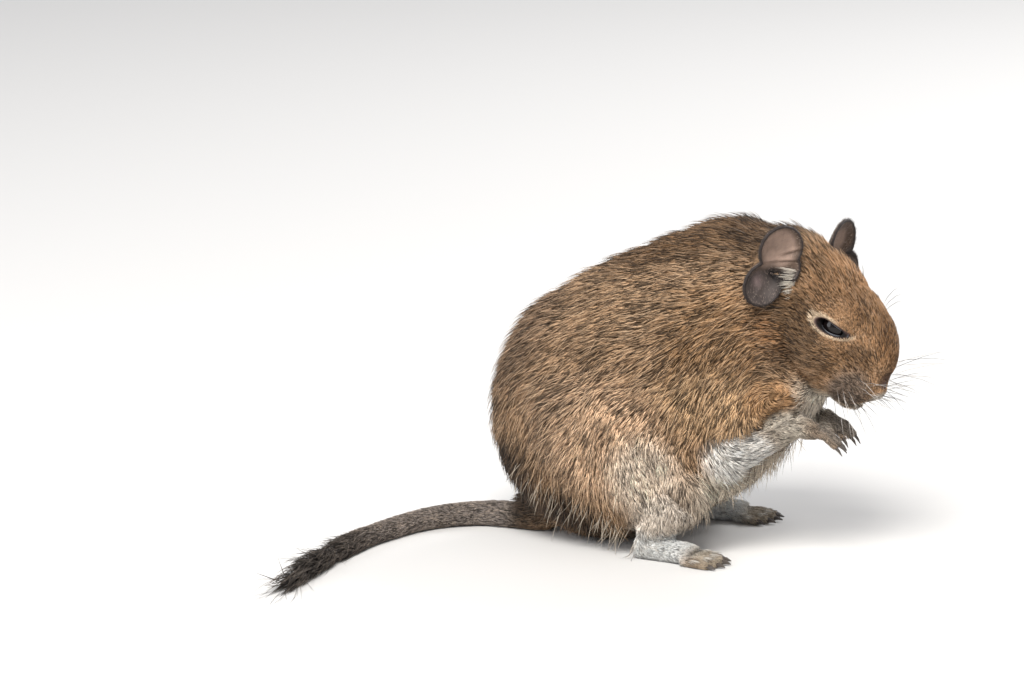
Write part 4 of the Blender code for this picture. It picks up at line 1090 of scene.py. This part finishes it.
def eye_piece(name, side):
    """A wet black eye, a smooth ball a little deeper than its lids."""
    form = bmesh.new()
    bmesh.ops.create_uvsphere(form, u_segments=48, v_segments=32, radius=EYE_RADIUS * 0.995)
    form.transform(HEAD @ Matrix.Translation((EYE.x, side * EYE.y, EYE.z)) @ Matrix.Rotation(math.pi / 2, 4, "X"))
    mesh = bpy.data.meshes.new(f"eyeball_{name}")
    form.to_mesh(mesh)
    form.free()
    mesh.shade_smooth()
    thing = bpy.data.objects.new(f"eyeball_{name}", mesh)
    bpy.context.scene.collection.objects.link(thing)
    return thing


def lid_piece(name, side):
    """The dark bare edge of the lids, a soft cord round the slit, narrower at its front corner."""
    line, radii = [], []
    for angle in np.linspace(0, 2 * math.pi, 65):
        along = SLIT_HALF[0] * 0.97 * math.cos(angle)
        across = SLIT_HALF[1] * 0.93 * math.sin(angle) * (1 - 0.22 * math.cos(angle))
        x = SLIT.x + along * math.cos(SLIT_PITCH) + across * math.sin(SLIT_PITCH)
        z = SLIT.z - along * math.sin(SLIT_PITCH) + across * math.cos(SLIT_PITCH)
        square = (x - EYE.x) ** 2 + (z - EYE.z) ** 2
        y = EYE.y + math.sqrt(max((EYE_RADIUS + 0.50 * MM) ** 2 - square, (1.6 * MM) ** 2))
        line.append(from_head(np.array((x, side * y, z))))
        radii.append((0.26 + 0.06 * abs(math.sin(angle))) * MM)
    return tube_mesh(f"lid_edge_{name}", line, radii, sides=10)


# Materials

def shader_of(name):
    """A new material with its node tree, its shader and a maker of nodes."""
    made = bpy.data.materials.new(name)
    made.use_nodes = True
    tree = made.node_tree
    return made, tree, tree.nodes["Principled BSDF"]


def coat_material():
    """Hair: each tuft's own colour, broken a little by fine noise, with a soft dry gloss."""
    made, tree, shader = shader_of("coat")
    colour = tree.nodes.new("ShaderNodeAttribute")
    colour.attribute_name = "shade"
    noise = tree.nodes.new("ShaderNodeTexNoise")
    noise.inputs["Scale"].default_value = 900
    noise.inputs["Detail"].default_value = 2
    spread = tree.nodes.new("ShaderNodeMapRange")
    spread.inputs["From Min"].default_value = 0.3
    spread.inputs["From Max"].default_value = 0.7
    spread.inputs["To Min"].default_value = 0.82
    spread.inputs["To Max"].default_value = 1.18
    mix = tree.nodes.new("ShaderNodeVectorMath")
    mix.operation = "MULTIPLY"
    tree.links.new(noise.outputs["Fac"], spread.inputs["Value"])
    tree.links.new(colour.outputs["Color"], mix.inputs[0])
    tree.links.new(spread.outputs["Result"], mix.inputs[1])
    tree.links.new(mix.outputs["Vector"], shader.inputs["Base Color"])
    shader.inputs["Roughness"].default_value = 0.62
    shader.inputs["Specular IOR Level"].default_value = 0.28
    return made


def skin_material(name, roughness, bump, scale):
    """Skin or under-fur: the shared markings darkened, with a fine grain in its bump."""
    made, tree, shader = shader_of(name)
    colour = tree.nodes.new("ShaderNodeAttribute")
    colour.attribute_name = "shade"
    noise = tree.nodes.new("ShaderNodeTexNoise")
    noise.inputs["Scale"].default_value = scale
    noise.inputs["Detail"].default_value = 4
    spread = tree.nodes.new("ShaderNodeMapRange")
    spread.inputs["From Min"].default_value = 0.3
    spread.inputs["From Max"].default_value = 0.7
    spread.inputs["To Min"].default_value = 0.78
    spread.inputs["To Max"].default_value = 1.2
    mix = tree.nodes.new("ShaderNodeVectorMath")
    mix.operation = "MULTIPLY"
    relief = tree.nodes.new("ShaderNodeBump")
    relief.inputs["Strength"].default_value = bump
    relief.inputs["Distance"].default_value = 0.0003
    tree.links.new(noise.outputs["Fac"], spread.inputs["Value"])
    tree.links.new(colour.outputs["Color"], mix.inputs[0])
    tree.links.new(spread.outputs["Result"], mix.inputs[1])
    tree.links.new(mix.outputs["Vector"], shader.inputs["Base Color"])
    tree.links.new(noise.outputs["Fac"], relief.inputs["Height"])
    tree.links.new(relief.outputs["Normal"], shader.inputs["Normal"])
    shader.inputs["Specular IOR Level"].default_value = 0.2
    shader.inputs["Roughness"].default_value = roughness
    return made


def plain_material(name, dark, light, roughness, scale, coat=0.0):
    """A material whose colour wanders between two tones."""
    made, tree, shader = shader_of(name)
    noise = tree.nodes.new("ShaderNodeTexNoise")
    noise.inputs["Scale"].default_value = scale
    ramp = tree.nodes.new("ShaderNodeValToRGB")
    ramp.color_ramp.elements[0].position = 0.35
    ramp.color_ramp.elements[0].color = (*dark, 1)
    ramp.color_ramp.elements[1].position = 0.7
    ramp.color_ramp.elements[1].color = (*light, 1)
    tree.links.new(noise.outputs["Fac"], ramp.inputs["Fac"])
    tree.links.new(ramp.outputs["Color"], shader.inputs["Base Color"])
    shader.inputs["Roughness"].default_value = roughness
    shader.inputs["Coat Weight"].default_value = coat
    shader.inputs["Coat Roughness"].default_value = 0.03
    return made


def dress(piece, finish, nodes=()):
    """Gives a piece its material and slot, makes it ride the body and stand for its nodes."""
    piece.data.materials.clear()
    piece.data.materials.append(finish)
    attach(piece, "root")
    if nodes:
        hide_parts(*nodes)


# Stage

def area_light(name, place, aim, size, power, colour=(1, 1, 1)):
    """A soft square light that looks at a point."""
    lamp = bpy.data.lights.new(name, "AREA")
    lamp.shape = "SQUARE"
    lamp.size = size
    lamp.energy = power
    lamp.color = colour
    thing = bpy.data.objects.new(name, lamp)
    thing.location = place
    thing.rotation_euler = (Vector(aim) - Vector(place)).to_track_quat("-Z", "Y").to_euler()
    bpy.context.scene.collection.objects.link(thing)


def stage():
    """A pale floor, soft lights, a pale world and the camera at the photo's angle."""
    form = bmesh.new()
    bmesh.ops.create_grid(form, x_segments=1, y_segments=1, size=12.0)
    mesh = bpy.data.meshes.new("floor")
    form.to_mesh(mesh)
    form.free()
    floor = bpy.data.objects.new("floor", mesh)
    floor.location = (0, 0, -0.0001)
    bpy.context.scene.collection.objects.link(floor)
    pale, _, shader = shader_of("floor")
    shader.inputs["Base Color"].default_value = (0.60, 0.59, 0.575, 1)
    shader.inputs["Roughness"].default_value = 0.9
    mesh.materials.append(pale)
    world = bpy.data.worlds.new("studio")
    world.use_nodes = True
    world.node_tree.nodes["Background"].inputs["Color"].default_value = (0.93, 0.95, 1.0, 1)
    world.node_tree.nodes["Background"].inputs["Strength"].default_value = 0.62
    bpy.context.scene.world = world
    aim = (0.01, 0, 0.05)
    area_light("key", (0.15, -1.0, 1.25), aim, 0.7, 34, (1.0, 0.975, 0.94))
    area_light("fill", (-1.1, -0.9, 0.5), aim, 0.9, 9, (0.95, 0.97, 1.0))
    area_light("back", (0.5, 1.1, 0.9), aim, 0.6, 14)
    bpy.context.scene.view_settings.view_transform = "Standard"
    lens = bpy.data.cameras.new("camera")
    lens.lens = 200
    lens.sensor_width = 36
    lens.clip_end = 50
    camera = bpy.data.objects.new("camera", lens)
    target = Vector((-0.0444, 0, 0.063))
    azimuth, elevation, distance = math.radians(18), math.radians(12), 1.903
    away = Vector((
        math.sin(azimuth) * math.cos(elevation),
        -math.cos(azimuth) * math.cos(elevation),
        math.sin(elevation),
    ))
    camera.location = target + away * distance
    camera.rotation_euler = (-away).to_track_quat("-Z", "Y").to_euler()
    bpy.context.scene.collection.objects.link(camera)
    bpy.context.scene.camera = camera


def main(nodes):
    """Makes every piece and dresses it."""
    stage()
    coat, underfur = coat_material(), skin_material("underfur", 0.75, 0.35, 900)
    ear_skin = skin_material("ear_skin", 0.48, 0.30, 1400)
    wet = plain_material("eye", (0.003, 0.002, 0.002), (0.006, 0.004, 0.004), 0.10, 300, coat=0.15)
    wet.node_tree.nodes["Principled BSDF"].inputs["Specular IOR Level"].default_value = 0.25
    lid = plain_material("lid", (0.030, 0.033, 0.040), (0.070, 0.074, 0.085), 0.42, 900)
    horn = plain_material("claw", (0.030, 0.024, 0.020), (0.12, 0.10, 0.085), 0.35, 700)
    skin = skin_piece(nodes)
    thin_skin(skin)
    places = places_of(skin.data)
    bare = bare_at(places)[:, None]
    sizes = coat_at(places)[1]
    under = 0.55 + 0.25 * (1 - smooth_step(0.3 * MM, 1.2 * MM, sizes[:, 2]))[:, None]
    tone = markings(places) * under
    tone = tone * (1 - bare) + np.array(BARE_SKIN) * bare
    inside = (1 - smooth_step(0.80, 0.98, lid_ring(places)))[:, None]
    paint_mesh(skin.data, tone * (1 - inside) + np.array(EYE_DARK) * inside)
    skin.data.shade_smooth()
    dress(skin, underfur, (*FLESH, "tail_tip"))
    shell = unwrapped(skin)
    for piece in coat_pieces(skin, shell) + guard_pieces(skin, shell):
        dress(piece, coat)
    dress(fringe_piece(skin), coat)
    dress(toe_bristles(), coat)
    dress(whiskers(skin), coat)
    for name, spec in EAR_SPECS.items():
        ear = ear_piece(name, nodes[f"ear_{name}"], spec)
        dress(ear, ear_skin, (f"ear_{name}",))
        for piece in ear_down(name, ear, spec):
            dress(piece, coat)
        dress(eye_piece(name, spec["side"]), wet, (f"eye_{name}",))
        dress(lid_piece(name, spec["side"]), lid)
    for name, node in nodes.items():
        if name.startswith("claw"):
            node.data.materials.clear()
            node.data.materials.append(horn)


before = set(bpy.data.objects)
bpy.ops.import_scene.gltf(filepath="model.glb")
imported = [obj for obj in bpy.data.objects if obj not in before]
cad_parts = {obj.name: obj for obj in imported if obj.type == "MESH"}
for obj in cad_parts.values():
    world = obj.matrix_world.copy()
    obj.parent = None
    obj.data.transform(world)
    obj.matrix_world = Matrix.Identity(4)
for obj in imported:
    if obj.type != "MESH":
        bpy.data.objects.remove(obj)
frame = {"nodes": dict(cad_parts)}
CAD_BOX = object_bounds()
main(frame["nodes"])
